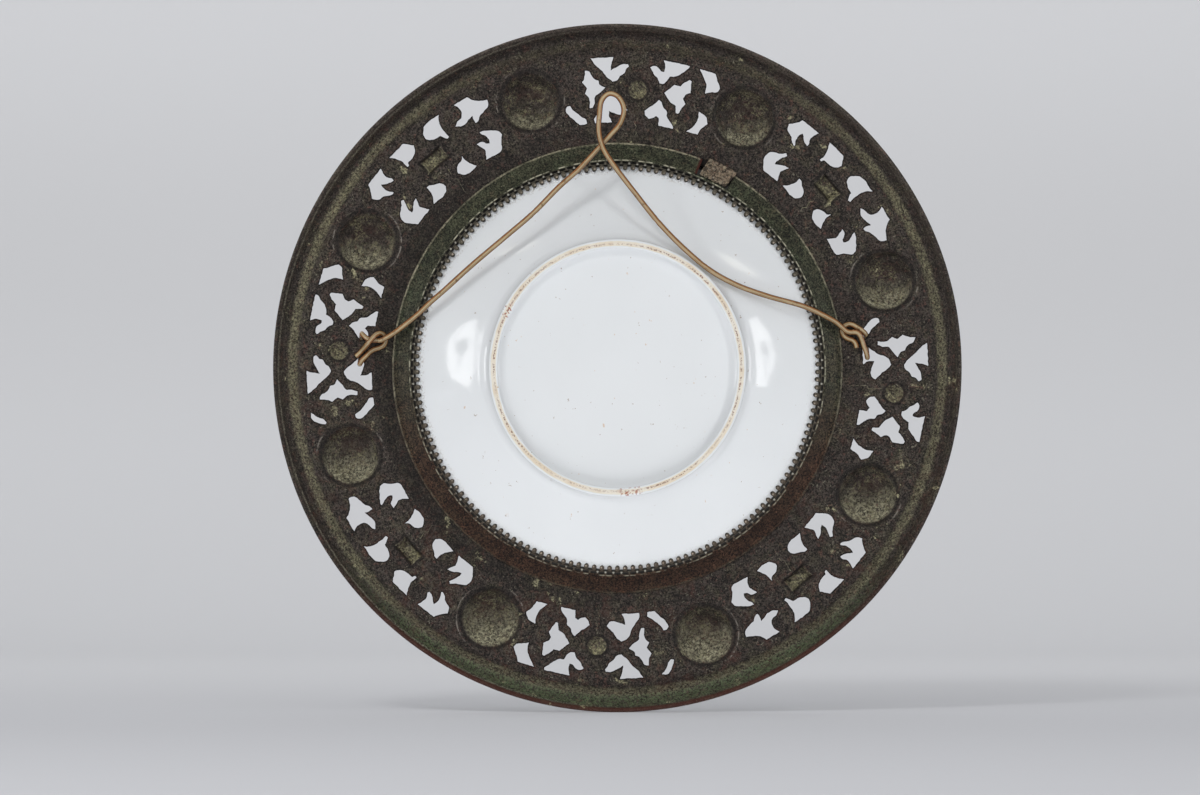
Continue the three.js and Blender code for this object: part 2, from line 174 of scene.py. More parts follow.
# Pierced holes: degrees from the panel's middle and millimetres from PATTERN_RADIUS
CROSS_PANEL = [
    ("left outer hook", [
        (-9.1, 14.2), (-4.8, 14.3), (-5.2, 11.5), (-5.4, 8.5), (-4.4, 9.8), (-3.3, 11.1), (-2.1, 11.3),
        (-1.9, 10.3), (-2.5, 8.8), (-2.7, 7.4), (-3.6, 5.9), (-4.1, 4.2), (-5.1, 3.7), (-6.3, 6.0),
        (-7.0, 8.2), (-8.3, 11.2),
    ]),
    ("right outer hook", [
        (4.5, 14.4), (9.4, 14.2), (9.4, 13.3), (8.7, 11.5), (8.0, 9.6), (7.1, 8.2), (6.1, 7.8), (5.7, 5.8),
        (5.0, 4.2), (4.3, 4.2), (3.8, 6.2), (3.1, 7.4), (2.6, 9.2), (2.1, 10.6), (2.7, 11.4), (3.6, 11.0),
        (4.4, 9.3), (4.9, 9.3), (4.9, 12.3),
    ]),
    ("left leaf", [
        (-10.3, 9.3), (-9.6, 8.6), (-9.0, 6.3), (-8.6, 5.0), (-7.9, 4.3), (-7.7, 2.5), (-6.6, 1.1),
        (-7.7, -1.0), (-8.8, -2.6), (-9.0, -5.2), (-9.5, -7.4), (-10.2, -7.4), (-10.1, -3.0),
        (-10.9, -0.8), (-10.3, 1.3), (-11.1, 4.0), (-10.5, 6.4),
    ]),
    ("right leaf", [
        (10.0, 8.2), (10.4, 7.8), (10.8, 2.8), (9.8, 1.1), (9.6, -0.5), (10.3, -2.6), (9.9, -4.2),
        (9.3, -7.3), (8.8, -7.2), (8.4, -4.2), (7.3, -3.3), (6.1, -0.8), (5.6, 0.4), (6.5, 2.6), (7.3, 4.6),
        (8.5, 4.5), (8.8, 5.6),
    ]),
    ("left inner hook", [
        (-5.1, -2.0), (-6.3, -3.0), (-7.0, -5.0), (-7.4, -7.2), (-8.3, -9.6), (-9.4, -12.4), (-9.3, -14.0),
        (-5.3, -14.1), (-5.9, -12.0), (-6.0, -9.3), (-4.9, -10.1), (-3.6, -10.9), (-2.5, -10.4),
        (-1.9, -8.6), (-3.2, -6.2), (-4.2, -3.6),
    ]),
    ("right inner hook", [
        (4.7, -2.9), (5.4, -4.0), (6.0, -6.3), (6.7, -7.0), (7.1, -9.7), (8.9, -13.5), (8.9, -14.2),
        (5.5, -14.2), (5.3, -10.9), (4.6, -10.0), (4.1, -11.0), (3.1, -11.8), (2.2, -10.4), (1.9, -8.6),
        (2.8, -6.8), (3.8, -5.3),
    ]),
    ("wide outer sliver", [
        (11.3, 13.9), (14.4, 14.0), (14.8, 12.3), (15.6, 10.1), (16.1, 8.4), (15.8, 6.7), (14.6, 5.6),
        (13.6, 4.4), (13.4, 7.7), (12.7, 10.2),
    ]),
    ("wide inner sliver", [
        (13.5, -4.1), (15.3, -5.2), (16.2, -7.8), (15.2, -10.8), (14.8, -13.7), (12.2, -13.9),
        (13.2, -11.4), (13.7, -8.8), (13.8, -6.6),
    ]),
    ("narrow outer sliver", [
        (-12.6, 13.8), (-13.0, 12.6), (-13.6, 11.3), (-14.1, 9.0), (-14.8, 7.8), (-15.3, 8.2),
        (-14.9, 10.4), (-14.3, 12.6), (-13.8, 13.8),
    ]),
    ("narrow inner sliver", [
        (-15.0, -5.3), (-14.3, -5.2), (-13.9, -7.0), (-12.9, -9.4), (-11.2, -12.3), (-11.2, -14.0),
        (-12.9, -14.1), (-13.9, -11.8), (-15.3, -8.0), (-15.4, -6.4),
    ]),
]
TABLET_PANEL = [
    ("left outer claw", [
        (-12.7, 13.6), (-8.9, 13.6), (-9.2, 11.5), (-9.4, 9.0), (-8.9, 7.0), (-9.0, 6.1), (-9.7, 6.4),
        (-10.5, 7.7), (-11.2, 9.2), (-11.5, 7.3), (-11.4, 5.0), (-10.9, 2.8), (-11.2, 2.4), (-12.0, 3.6),
        (-12.6, 4.9), (-14.0, 6.4), (-14.4, 8.8), (-13.6, 10.4), (-13.0, 12.2),
    ]),
    ("right outer claw", [
        (9.1, 13.8), (11.9, 13.8), (12.5, 11.8), (13.7, 9.8), (15.1, 8.8), (14.8, 6.3), (13.6, 4.9),
        (12.4, 3.9), (11.6, 2.3), (11.0, 2.0), (10.9, 3.7), (11.1, 5.7), (10.4, 5.1), (9.2, 4.1), (8.3, 4.1),
        (7.2, 5.5), (7.7, 6.5), (9.0, 7.2), (9.6, 9.0), (9.6, 11.5),
    ]),
    ("left outer shield", [
        (-6.3, 13.9), (-2.6, 13.9), (-2.0, 11.8), (-1.5, 10.3), (-2.0, 8.1), (-3.0, 6.8), (-4.6, 6.5),
        (-4.9, 5.3), (-5.3, 5.3), (-5.2, 8.3), (-5.7, 11.6),
    ]),
    ("right outer shield", [
        (2.4, 13.6), (5.8, 13.9), (5.1, 11.6), (4.8, 8.9), (4.8, 6.0), (4.95, 3.4), (4.5, 3.1), (4.0, 4.4),
        (3.7, 6.0), (2.1, 6.6), (1.2, 8.4), (1.1, 10.2), (1.6, 12.0),
    ]),
    ("left inner claw", [
        (-11.3, -2.2), (-10.8, -2.9), (-11.5, -5.4), (-11.9, -7.6), (-11.8, -9.0), (-11.3, -8.6),
        (-10.1, -7.0), (-8.9, -6.3), (-9.1, -7.4), (-9.8, -10.0), (-9.3, -12.4), (-8.9, -14.1),
        (-13.1, -14.1), (-14.3, -10.6), (-14.6, -9.0), (-14.2, -6.0), (-13.4, -4.9), (-12.3, -3.9),
    ]),
    ("right inner claw", [
        (10.7, -2.2), (11.4, -2.4), (13.0, -4.0), (14.4, -5.8), (14.7, -7.6), (13.7, -10.8), (13.1, -13.7),
        (12.7, -14.0), (8.8, -14.0), (9.7, -10.4), (9.3, -8.0), (8.8, -6.1), (10.0, -6.3), (10.9, -8.2),
        (11.4, -8.5), (11.7, -7.0), (11.4, -5.0), (10.9, -3.5),
    ]),
    ("left inner shield", [
        (-5.6, -6.7), (-4.9, -6.9), (-4.2, -8.1), (-3.2, -9.0), (-2.5, -10.8), (-2.4, -12.4), (-3.2, -14.1),
        (-7.3, -14.1), (-6.4, -12.1), (-5.8, -9.9),
    ]),
    ("right inner shield", [
        (4.7, -6.5), (4.9, -9.7), (5.5, -12.0), (6.1, -13.8), (5.6, -14.2), (2.9, -14.1), (1.7, -11.6),
        (2.1, -9.9), (3.1, -8.5), (4.2, -8.0),
    ]),
]
FILLED_HOLES = [(0, "narrow outer sliver"), (2, "narrow outer sliver"), (2, "wide outer sliver")]

# The wire's route as x, z and back, in metres
FREE_ROUTE = [
    (-0.1044, 0.0120, 0.0042), (-0.1032, 0.01202, 0.0042), (-0.1006, 0.0132, 0.0043),
    (-0.0969, 0.0155, 0.0048), (-0.0915, 0.0196, 0.0058), (-0.0866, 0.0236, 0.0070),
    (-0.0816, 0.0283, 0.0083), (-0.0754, 0.0336, 0.0102), (-0.0629, 0.0448, 0.0136),
    (-0.0492, 0.0563, 0.0164), (-0.0367, 0.0669, 0.0182), (-0.0252, 0.0785, 0.0192),
    (-0.0165, 0.0863, 0.0196), (-0.0091, 0.0942, 0.0198), (-0.0034, 0.1005, 0.0200),
    (0.0014, 0.1064, 0.0203), (0.0027, 0.1125, 0.0209), (0.0000, 0.1175, 0.0216),
    (-0.0037, 0.1186, 0.0220), (-0.0067, 0.1159, 0.0223), (-0.0078, 0.1098, 0.0226),
    (-0.0080, 0.1020, 0.0228), (-0.0063, 0.0952, 0.0229), (-0.0019, 0.0881, 0.0227),
    (0.0066, 0.0769, 0.0220), (0.0187, 0.0619, 0.0206), (0.0302, 0.0504, 0.0190),
    (0.0401, 0.0423, 0.0176), (0.0513, 0.0361, 0.0156), (0.0650, 0.0312, 0.0126),
    (0.0800, 0.0271, 0.0092), (0.0862, 0.0246, 0.0077), (0.0919, 0.0218, 0.0063),
    (0.0952, 0.0199, 0.0053), (0.0978, 0.0177, 0.0046), (0.0996, 0.0161, 0.00425),
    (0.1010, 0.01558, 0.0042), (0.1020, 0.0156, 0.0042),
]
LEFT_TIE_ROUTE = [
    (-0.1047, 0.01199, 0.0042), (-0.1062, 0.01197, 0.00415), (-0.1084, 0.0125, 0.0035),
    (-0.1102, 0.0137, 0.0023), (-0.1112, 0.0147, 0.0007), (-0.1114, 0.0149, -0.0011),
    (-0.1115, 0.0140, -0.0028), (-0.1116, 0.0120, -0.0034), (-0.1120, 0.0049, -0.00345),
    (-0.1122, 0.0027, -0.0028), (-0.1123, 0.0018, -0.0012), (-0.1121, 0.0021, 0.0005),
    (-0.1112, 0.0035, 0.0016), (-0.1094, 0.0053, 0.0017), (-0.1078, 0.0070, 0.0016),
    (-0.1059, 0.0082, 0.0015), (-0.1038, 0.0088, 0.0015), (-0.1019, 0.0099, 0.0015),
    (-0.1010, 0.0119, 0.0015), (-0.1015, 0.0140, 0.0016), (-0.1031, 0.0151, 0.0029),
    (-0.1050, 0.0145, 0.0052), (-0.1067, 0.0127, 0.0070), (-0.1083, 0.0108, 0.0062),
    (-0.1098, 0.0091, 0.0040), (-0.1113, 0.0075, 0.0020), (-0.1126, 0.0062, 0.0015),
    (-0.1138, 0.0051, 0.0015),
]
RIGHT_TIE_ROUTE = [
    (0.1023, 0.01561, 0.0042), (0.1038, 0.0156, 0.0042), (0.1053, 0.0147, 0.0039),
    (0.1065, 0.0123, 0.0028), (0.1075, 0.0094, 0.0022), (0.1084, 0.0069, 0.0017),
    (0.1089, 0.0052, 0.0006), (0.1090, 0.0045, -0.0011), (0.1089, 0.0054, -0.0028),
    (0.1087, 0.0076, -0.00345), (0.1084, 0.0118, -0.00345), (0.1082, 0.0138, -0.0028),
    (0.1081, 0.0145, -0.0012), (0.1081, 0.0148, 0.0006), (0.1073, 0.0157, 0.0017),
    (0.1050, 0.0173, 0.0019), (0.1016, 0.0190, 0.0016), (0.0992, 0.0184, 0.0015),
    (0.0980, 0.0164, 0.0015), (0.0988, 0.0141, 0.0015), (0.1007, 0.0128, 0.0015),
    (0.1026, 0.0121, 0.0015), (0.1039, 0.0106, 0.0015), (0.1043, 0.0089, 0.0015),
]

# Kinks of the wire, in millimetres across and up, and the folds in which it swells there
WIRE_KINKS = [(-35.9, 66.7), (16.4, 63.2), (36.0, 44.5)]
KINK_SWELL = 0.07
KINK_REACH = 4.0
KINK_WAVES = 3.2
STREAK_PACE = 0.16

# Camera and light
FRAME_WIDTH = 0.5231
VIEW_CENTRE = (-0.00758, -0.01286)
CAMERA_DISTANCE = 3.0
SENSOR_WIDTH = 36.0
FLOOR_TONE = (188, 189, 193)
FAR_TONE = (215, 216, 219)
LOW_TONE = (190, 190, 192)
BACKDROP_TONE = (221, 222, 225)
SWEEP_FLAT = [-3.5, -0.5, 0.3]
SWEEP_START = 0.7
SWEEP_HALF_WIDTH = 4
SWEEP_RADIUS = 0.9
SWEEP_TOP = 3.2
CARD_DISTANCE = 1.6
BLOT_DISTANCE = 1.5
CARD_STEPS = 5

# Outlines of the reflections on the glazed wall, in millimetres across and up from the plate's axis
SHINE_LEFT = [
    (-60.8, 21.4), (-66.9, 19.2), (-73.4, 12.6), (-74.3, 6.1), (-74.1, 0.9), (-72.5, -3.5), (-70.8, -5.7),
    (-64.3, -8.7), (-62.5, -3.9), (-61.9, 5.7), (-61.2, 13.9),
]
SHINE_LEFT_EDGE = [
    (-57.3, 20.1), (-60.5, 12.2), (-61.2, 1.3), (-60.1, -6.5), (-59.9, 1.3), (-59.0, 11.3),
]
SHINE_RIGHT = [
    (55.6, 20.9), (56.9, 20.3), (59.8, 22.7), (65.2, 15.7), (66.5, 10.0), (68.3, 5.2), (67.0, -0.4),
    (65.2, -6.5), (63.0, -13.1), (61.3, -13.7), (60.4, -12.9), (58.9, -12.9), (59.5, -0.9), (58.9, 8.7),
    (56.9, 16.6),
]
BLOT_LEFT = [
    (-70.4, 10.0), (-69.5, 11.8), (-67.3, 12.2), (-65.6, 13.5), (-64.3, 13.1), (-64.9, 7.8), (-66.9, 6.5),
    (-67.1, 4.4), (-68.2, 3.1), (-69.5, -0.4), (-71.7, -3.5), (-69.9, 0.4), (-68.4, 4.4), (-69.9, 7.4),
]
BLOT_RIGHT = [
    (61.7, 11.8), (62.8, 12.2), (64.8, 9.2), (65.2, 7.0), (65.0, 3.9), (64.6, 0.9), (64.8, -4.4),
    (64.3, -4.4), (63.9, 0.9), (63.9, 3.7), (62.2, 6.1),
]
WING_LEFT = [
    (-53.8, 47.9), (-49.0, 51.4), (-41.6, 54.1), (-34.6, 56.4), (-35.5, 53.6), (-40.7, 51.0), (-47.7, 48.8),
]
WING_RIGHT = [
    (43.0, 50.6), (47.8, 49.7), (53.9, 46.2), (59.1, 42.3), (61.7, 39.0), (57.8, 40.5), (52.1, 43.4),
    (46.5, 46.6),
]


# Helpers for shapes

def polar(degrees, radius):
    """Points of the plate's plane: x is radius times the sine of the angle, z radius times its cosine."""
    angle = np.radians(degrees)
    return np.stack([radius * np.sin(angle), radius * np.cos(angle)], axis=-1)


def cubic(t, start, end, leave, arrive, length=1.0):
    """A cubic from start to end for t from 0 to 1, with the slopes leave and arrive times the length."""
    return (
        (2 * t ** 3 - 3 * t ** 2 + 1) * start + (t ** 3 - 2 * t ** 2 + t) * leave * length
        + (3 * t ** 2 - 2 * t ** 3) * end + (t ** 3 - t ** 2) * arrive * length
    )


def quadratic(start, control, end, steps):
    """Points of a curve drawn toward a control point: (1 - t)^2 start + 2t(1 - t) control + t^2 end."""
    t = np.linspace(0, 1, steps)[:, None]
    return (1 - t) ** 2 * start + 2 * t * (1 - t) * control + t ** 2 * end


def smoothstep(low, high, value):
    """0 below low, 1 above high, and 3t^2 - 2t^3 between them; low may be the larger one."""
    t = np.clip((value - low) / (high - low), 0, 1)
    return t * t * (3 - 2 * t)


def soft_max(a, b, softness):
    """The larger of two values, rounded where they meet: half of a + b + root((a - b)^2 + softness^2)."""
    return (a + b + np.sqrt((a - b) ** 2 + softness ** 2)) / 2


def ripple(places, size, seed, waves=12):
    """Random relief of about -1 to 1: a sum of seeded sine waves about "size" millimetres long."""
    draw = np.random.default_rng(seed)
    total = np.zeros(len(places))
    for _ in range(waves):
        way = draw.normal(size=places.shape[1])
        way /= np.linalg.norm(way)
        length = size * draw.uniform(0.6, 1.7)
        total += np.sin(2 * math.pi * (places @ way) / length + draw.uniform(0, 2 * math.pi))
    return total / math.sqrt(waves)


def grid_faces(rows, columns, wrap_rows=False, wrap_columns=False):
    """The four-sided faces between neighbours of a grid whose points run row by row."""
    last_row = rows if wrap_rows else rows - 1
    last_column = columns if wrap_columns else columns - 1
    row, column = np.meshgrid(np.arange(last_row), np.arange(last_column), indexing="ij")
    below = (row + 1) % rows
    right = (column + 1) % columns
    start = row * columns
    end = below * columns
    corners = [start + column, start + right, end + right, end + column]
    return np.stack(corners, axis=-1).reshape(-1, 4)


def turned(profile, columns):
    """A profile of (radius, back) turned about the plate's axis. Returns its points and faces; the copies
    of a profile point on the axis become one pole when they are welded."""
    profile = np.asarray(profile, float)
    angle = np.arange(columns) * 2 * math.pi / columns
    radius = profile[:, :1]
    x = radius * np.sin(angle)
    z = radius * np.cos(angle)
    y = np.broadcast_to(MIDDLE - profile[:, 1:], x.shape)
    points = np.stack([x, y, z], axis=-1).reshape(-1, 3)
    quads = grid_faces(len(profile), columns, wrap_columns=True)
    return points, [quads]


def weld_places(points):
    """The first point at each different place, and which of those places each point is at. Single
    precision first, because the band's net comes back in it."""
    keys = np.round(points.astype(np.float32).astype(float) * 1e4).astype(np.int64)
    _, first, which = np.unique(keys, axis=0, return_index=True, return_inverse=True)
    return first, which.ravel()


def weld(points, face_sets):
    """Corners at the same place share one point, and a side that shrinks to nothing leaves a triangle."""
    first, which = weld_places(points)
    kept = []
    for faces in face_sets:
        faces = which[faces]
        if faces.shape[1] == 3:
            kept.append(faces)
            continue
        same = faces == np.roll(faces, -1, axis=1)
        kept.append(faces[~same.any(axis=1)])
        for side in range(4):
            kept.append(np.delete(faces[same[:, side] & (same.sum(axis=1) == 1)], side, axis=1))
    return points[first], [faces for faces in kept if len(faces)]


def joined(parts):
    """Several (points, face sets) as one."""
    start = 0
    points = []
    face_sets = []
    for part_points, part_faces in parts:
        points.append(part_points)
        face_sets += [faces + start for faces in part_faces]
        start += len(part_points)
    return np.concatenate(points), face_sets


def volume(points, face_sets):
    """Signed volume, the sum of corner triple products over the faces cut into triangles."""
    total = 0.0
    for faces in face_sets:
        for last in range(2, faces.shape[1]):
            a, b, c = points[faces[:, 0]], points[faces[:, last - 1]], points[faces[:, last]]
            total += np.einsum("ij,ij->", a, np.cross(b, c)) / 6
    return total


def sheet_solid(flat, face_sets, backs, fronts, open_edges=None):
    """A solid from a flat net of faces: a copy at the back heights, a copy at the front heights, and a
    wall along each outer side. open_edges says which outer sides, by their two ends, get no wall."""
    count = len(flat)
    back_points = np.column_stack([flat[:, 0], MIDDLE - backs, flat[:, 1]])
    front_points = np.column_stack([flat[:, 0], MIDDLE - fronts, flat[:, 1]])
    sides = np.concatenate([
        np.stack([faces, np.roll(faces, -1, axis=1)], axis=-1).reshape(-1, 2) for faces in face_sets
    ])
    codes = np.sort(sides, axis=1)
    codes = codes[:, 0] * count + codes[:, 1]
    _, which, counts = np.unique(codes, return_inverse=True, return_counts=True)
    outer = sides[counts[which.ravel()] == 1]
    if open_edges:
        outer = outer[~open_edges(flat[outer[:, 0]], flat[outer[:, 1]])]
    walls = np.column_stack([outer[:, 1], outer[:, 0], outer[:, 0] + count, outer[:, 1] + count])
    fronts_faces = [faces[:, ::-1] + count for faces in face_sets]
    return np.concatenate([back_points, front_points]), list(face_sets) + fronts_faces + [walls]


def add_piece(name, shape, body, material, replaced=(), sharp=45):
    """Makes a mesh object from points in millimetres and face sets, faces outward, and puts it on its
    body and in place of its CAD nodes."""
    points, face_sets = weld(*shape)
    if volume(points, face_sets) < 0:
        face_sets = [faces[:, ::-1] for faces in face_sets]
    mesh = bpy.data.meshes.new(name)
    corners = np.concatenate([faces.ravel() for faces in face_sets])
    sizes = np.concatenate([np.full(len(faces), faces.shape[1]) for faces in face_sets])
    mesh.vertices.add(len(points))
    mesh.vertices.foreach_set("co", (points * MM).ravel())
    mesh.loops.add(len(corners))
    mesh.loops.foreach_set("vertex_index", corners.astype(np.int32))
    mesh.polygons.add(len(sizes))
    mesh.polygons.foreach_set("loop_start", (np.cumsum(sizes) - sizes).astype(np.int32))
    mesh.update(calc_edges=True)
    mesh.polygons.foreach_set("use_smooth", np.ones(len(sizes), bool))
    mesh.set_sharp_from_angle(angle=math.radians(sharp))
    piece = bpy.data.objects.new(name, mesh)
    bpy.context.scene.collection.objects.link(piece)
    mesh.materials.append(material)
    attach(piece, body)
    if replaced:
        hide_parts(*replaced)
    return piece


def mesh_points(piece):
    """A piece's points in millimetres."""
    places = np.empty(len(piece.data.vertices) * 3)
    piece.data.vertices.foreach_get("co", places)
    return places.reshape(-1, 3) / MM


def add_attribute(piece, name, values):
    """A value or a vector for each point of a piece, which its material reads by name."""
    kind, key = ("FLOAT", "value") if values.ndim == 1 else ("FLOAT_VECTOR", "vector")
    attribute = piece.data.attributes.new(name, kind, "POINT")
    attribute.data.foreach_set(key, values.astype(np.float32).ravel())


# Wire

def route_points(route, step):
    """Even steps along a centripetal Catmull-Rom curve through the route, in millimetres: between two
    points a cubic whose end slopes come from the square roots of the three distances around it."""
    x, z, back = np.array(route).T / MM
    knots = np.stack([x, MIDDLE - back, z], axis=1)
    knots = np.vstack([2 * knots[0] - knots[1], knots, 2 * knots[-1] - knots[-2]])
    p0, p1, p2, p3 = knots[:-3], knots[1:-2], knots[2:-1], knots[3:]
    gaps = np.sqrt(np.linalg.norm(np.diff(knots, axis=0), axis=1))[:, None]
    g0, g1, g2 = gaps[:-2], gaps[1:-1], gaps[2:]
    leave = ((p1 - p0) / g0 - (p2 - p0) / (g0 + g1) + (p2 - p1) / g1) * g1
    arrive = ((p2 - p1) / g1 - (p3 - p1) / (g1 + g2) + (p3 - p2) / g2) * g1
    t = np.linspace(0, 1, 40, endpoint=False)[:, None, None]
    curve = cubic(t, p1, p2, leave, arrive)
    dense = np.vstack([curve.transpose(1, 0, 2).reshape(-1, 3), knots[-2]])
    travelled = np.concatenate([[0], np.cumsum(np.linalg.norm(np.diff(dense, axis=0), axis=1))])
    count = max(8, round(travelled[-1] / step)) + 1
    along = np.linspace(0, travelled[-1], count)
    return np.stack([np.interp(along, travelled, axis) for axis in dense.T], axis=1)


def side_ways(centres):
    """For each step of a path, its way and a side way that turns as little as possible along it."""
    ways = np.gradient(centres, axis=0)
    ways /= np.linalg.norm(ways, axis=1)[:, None]
    side = np.cross(ways[0], [0, 0, 1])
    sides = []
    for way in ways:
        side = side - way * (side @ way)
        side = side / np.linalg.norm(side)
        sides.append(side)
    return ways, np.array(sides)


def wire_shape(route, stretch_start, stretch_end):
    """A round wire along its route. The radius waves a little and swells in folds at the kinks, and both
    ends close in a small dome. stretch_start and stretch_end lengthen it into the next stretch. With it
    come how far each point faces back and sideways and how far the streaks run there, and the middle line."""
    centres = route_points(route, WIRE_STEP)
    first_way = centres[0] - centres[1]
    last_way = centres[-1] - centres[-2]
    centres[0] += first_way / np.linalg.norm(first_way) * stretch_start
    centres[-1] += last_way / np.linalg.norm(last_way) * stretch_end
    ways, sides = side_ways(centres)
    others = np.cross(ways, sides)
    radius = WIRE_DIAMETER / 2 * (1 + 0.02 * ripple(centres, 9.0, 3))
    for kink in WIRE_KINKS:
        distance = np.hypot(centres[:, 0] - kink[0], centres[:, 2] - kink[1])
        radius *= 1 + KINK_SWELL * np.exp(-(distance / KINK_REACH) ** 2) * np.cos(distance * KINK_WAVES)
    turn = np.arange(WIRE_SIDES) * 2 * math.pi / WIRE_SIDES
    ring = sides[:, None] * np.cos(turn)[None, :, None] + others[:, None] * np.sin(turn)[None, :, None]
    body = centres[:, None] + ring * radius[:, None, None]
    rings = [body]
    back = -ring[..., 1]
    across = np.cross(ways, [0, 1, 0])
    across /= np.maximum(np.linalg.norm(across, axis=1), 0.05)[:, None]
    facing = np.stack([back, (ring * across[:, None]).sum(axis=2), 0 * back], axis=-1)
    facing[..., 2] = (np.arange(len(centres)) * WIRE_STEP * STREAK_PACE)[:, None]
    facings = [facing]
    for share, reach in ((0.75, 0.22), (0.0, 0.34)):
        start = centres[0] - ways[0] * reach + ring[0] * radius[0] * share
        end = centres[-1] + ways[-1] * reach + ring[-1] * radius[-1] * share
        rings = [start[None]] + rings + [end[None]]
        facings = [facing[:1]] + facings + [facing[-1:]]
    points = np.concatenate(rings)
    shape = points.reshape(-1, 3), [grid_faces(len(points), WIRE_SIDES, wrap_columns=True)]
    return shape, np.concatenate(facings).reshape(-1, 3), centres


# Porcelain

def arc(centre, radii, start, end, steps):
    """Part of an ellipse in a section: centre plus the two radii times cosine and sine, in degrees."""
    angle = np.radians(np.linspace(start, end, steps))
    return np.stack([centre[0] + radii[0] * np.cos(angle), centre[1] + radii[1] * np.sin(angle)], axis=1)


def bowed(start, end, bow, steps):
    """A quadratic curve between two section points whose middle control point is moved back by bow."""
    start = np.array(start, float)
    end = np.array(end, float)
    return quadratic(start, (start + end) / 2 + [0, bow], end, steps)


def porcelain_wall_ends():
    """The wall's first and last points, as radius and back."""
    start = (FOOT_RADIUS + FOOT_FLARE, FOOT_GROUND - FOOT_HEIGHT)
    end = (PLATE_RADIUS - SHOULDER, PLATE_FRONT + EDGE_WALL + SHOULDER_RISE)
    return start, end


def porcelain_profile():
    """The dish's section from the middle of its back, over the foot ring and the wall to the edge, and
    home along the display face."""
    base = FOOT_GROUND - FOOT_HEIGHT
    inner = FOOT_RADIUS - FOOT_WIDTH
    radius = np.linspace(0, inner - FOOT_FILLET, 26)[:-1]
    floor = np.stack([radius, base - BASE_DISH * (1 - (radius / (inner - FOOT_FILLET)) ** 2)], axis=1)
    fillet = arc((inner - FOOT_FILLET, base + FOOT_FILLET_RISE), (FOOT_FILLET, FOOT_FILLET_RISE), -90, 0, 15)
    inner_round = arc((inner + 0.05, FOOT_GROUND - 0.65), (0.65, 0.65), 180, 90, 6)
    ground = np.array([[inner + 0.6, FOOT_GROUND + 0.02], [FOOT_RADIUS - 0.6, FOOT_GROUND + 0.02]])
    outer_round = arc((FOOT_RADIUS - 0.05, FOOT_GROUND - 0.7), (0.75, 0.7), 90, 5, 7)
    wall_start, wall_end = porcelain_wall_ends()
    flare_start = np.array([FOOT_RADIUS + 0.72, FOOT_GROUND - 0.95])
    flare_control = np.array([FOOT_RADIUS + 1.6, base + 0.85])
    flare = quadratic(flare_start, flare_control, np.array(wall_start), 12)
    edge_back = PLATE_FRONT + EDGE_WALL
    wall = bowed(wall_start, wall_end, -BACK_BOW, 30)[1:]
    shoulder = np.array([[PLATE_RADIUS - 1.0, edge_back + 0.75], [PLATE_RADIUS, edge_back - 0.3]])
    edge = np.array([[PLATE_RADIUS, PLATE_FRONT + 0.8], [PLATE_RADIUS - 0.25, PLATE_FRONT + 0.2]])
    well = (WELL_RADIUS, base - BASE_WALL)
    face = bowed((PLATE_RADIUS - 0.7, PLATE_FRONT), well, FACE_BOW, 24)
    inside = np.linspace(WELL_RADIUS, 0, 14)[1:]
    bottom = np.stack([inside, base - BASE_WALL - BASE_DISH * (1 - inside / WELL_RADIUS)], axis=1)
    return np.concatenate([
        floor, fillet, inner_round, ground, outer_round, flare, wall, shoulder, edge, face, bottom,
    ])


def porcelain_shape():
    """The turned dish, with the slow waves of a hand-dipped glaze, a hundredth of a millimetre high."""
    points, face_sets = turned(porcelain_profile(), PLATE_COLUMNS)
    radius = np.hypot(points[:, 0], points[:, 2])
    wave = 0.006 * ripple(points[:, [0, 2]], 34.0, 11) + 0.0007 * ripple(points[:, [0, 2]], 9.0, 12)
    points[:, 1] += wave * smoothstep(0, 4, radius) * smoothstep(PLATE_RADIUS, 86, radius)
    return points, face_sets


# Cast rim

def hole_outlines():
    """Every pierced hole's corners in the plate's plane."""
    outlines = []
    for panel in range(PANELS):
        turn = PATTERN_TURN + PANEL_DRIFT[panel] + PITCH * panel
        for name, corners in (TABLET_PANEL if panel % 2 else CROSS_PANEL):
            if (panel, name) in FILLED_HOLES:
                continue
            degrees, offset = np.array(corners).T
            outlines.append(polar(turn + degrees, PATTERN_RADIUS + offset))
    return outlines


def sawn_outline(corners):
    """A smooth closed line through the corners in even steps: each side is a cubic that runs level
    through soft corners and leaves a cusp straight along its side."""
    sides = np.roll(corners, -1, axis=0) - corners
    lengths = np.hypot(*sides.T)
    ways = sides / lengths[:, None]
    before = np.roll(ways, 1, axis=0)
    crossed = before[:, 0] * ways[:, 1] - before[:, 1] * ways[:, 0]
    turns = np.abs(np.arctan2(crossed, (before * ways).sum(axis=1)))
    level = before + ways
    level /= np.maximum(np.hypot(*level.T), 1e-6)[:, None]
    soft = (turns < CUSP_TURN)[:, None]
    leaving = np.where(soft, level, ways)
    arriving = np.roll(np.where(soft, level, before), -1, axis=0)
    ends = np.roll(corners, -1, axis=0)
    pieces = []
    for start, end, leave, arrive, length in zip(corners, ends, leaving, arriving, lengths):
        steps = max(1, round(length / HOLE_STEP))
        t = (np.arange(steps) / steps)[:, None]
        pieces.append(cubic(t, start, end, leave, arrive, length))
    line = np.concatenate(pieces)
    shake = np.stack([ripple(line, 2.2, 61, waves=6), ripple(line, 2.2, 62, waves=6)], axis=1)
    return line + SAWN_WOBBLE * shake


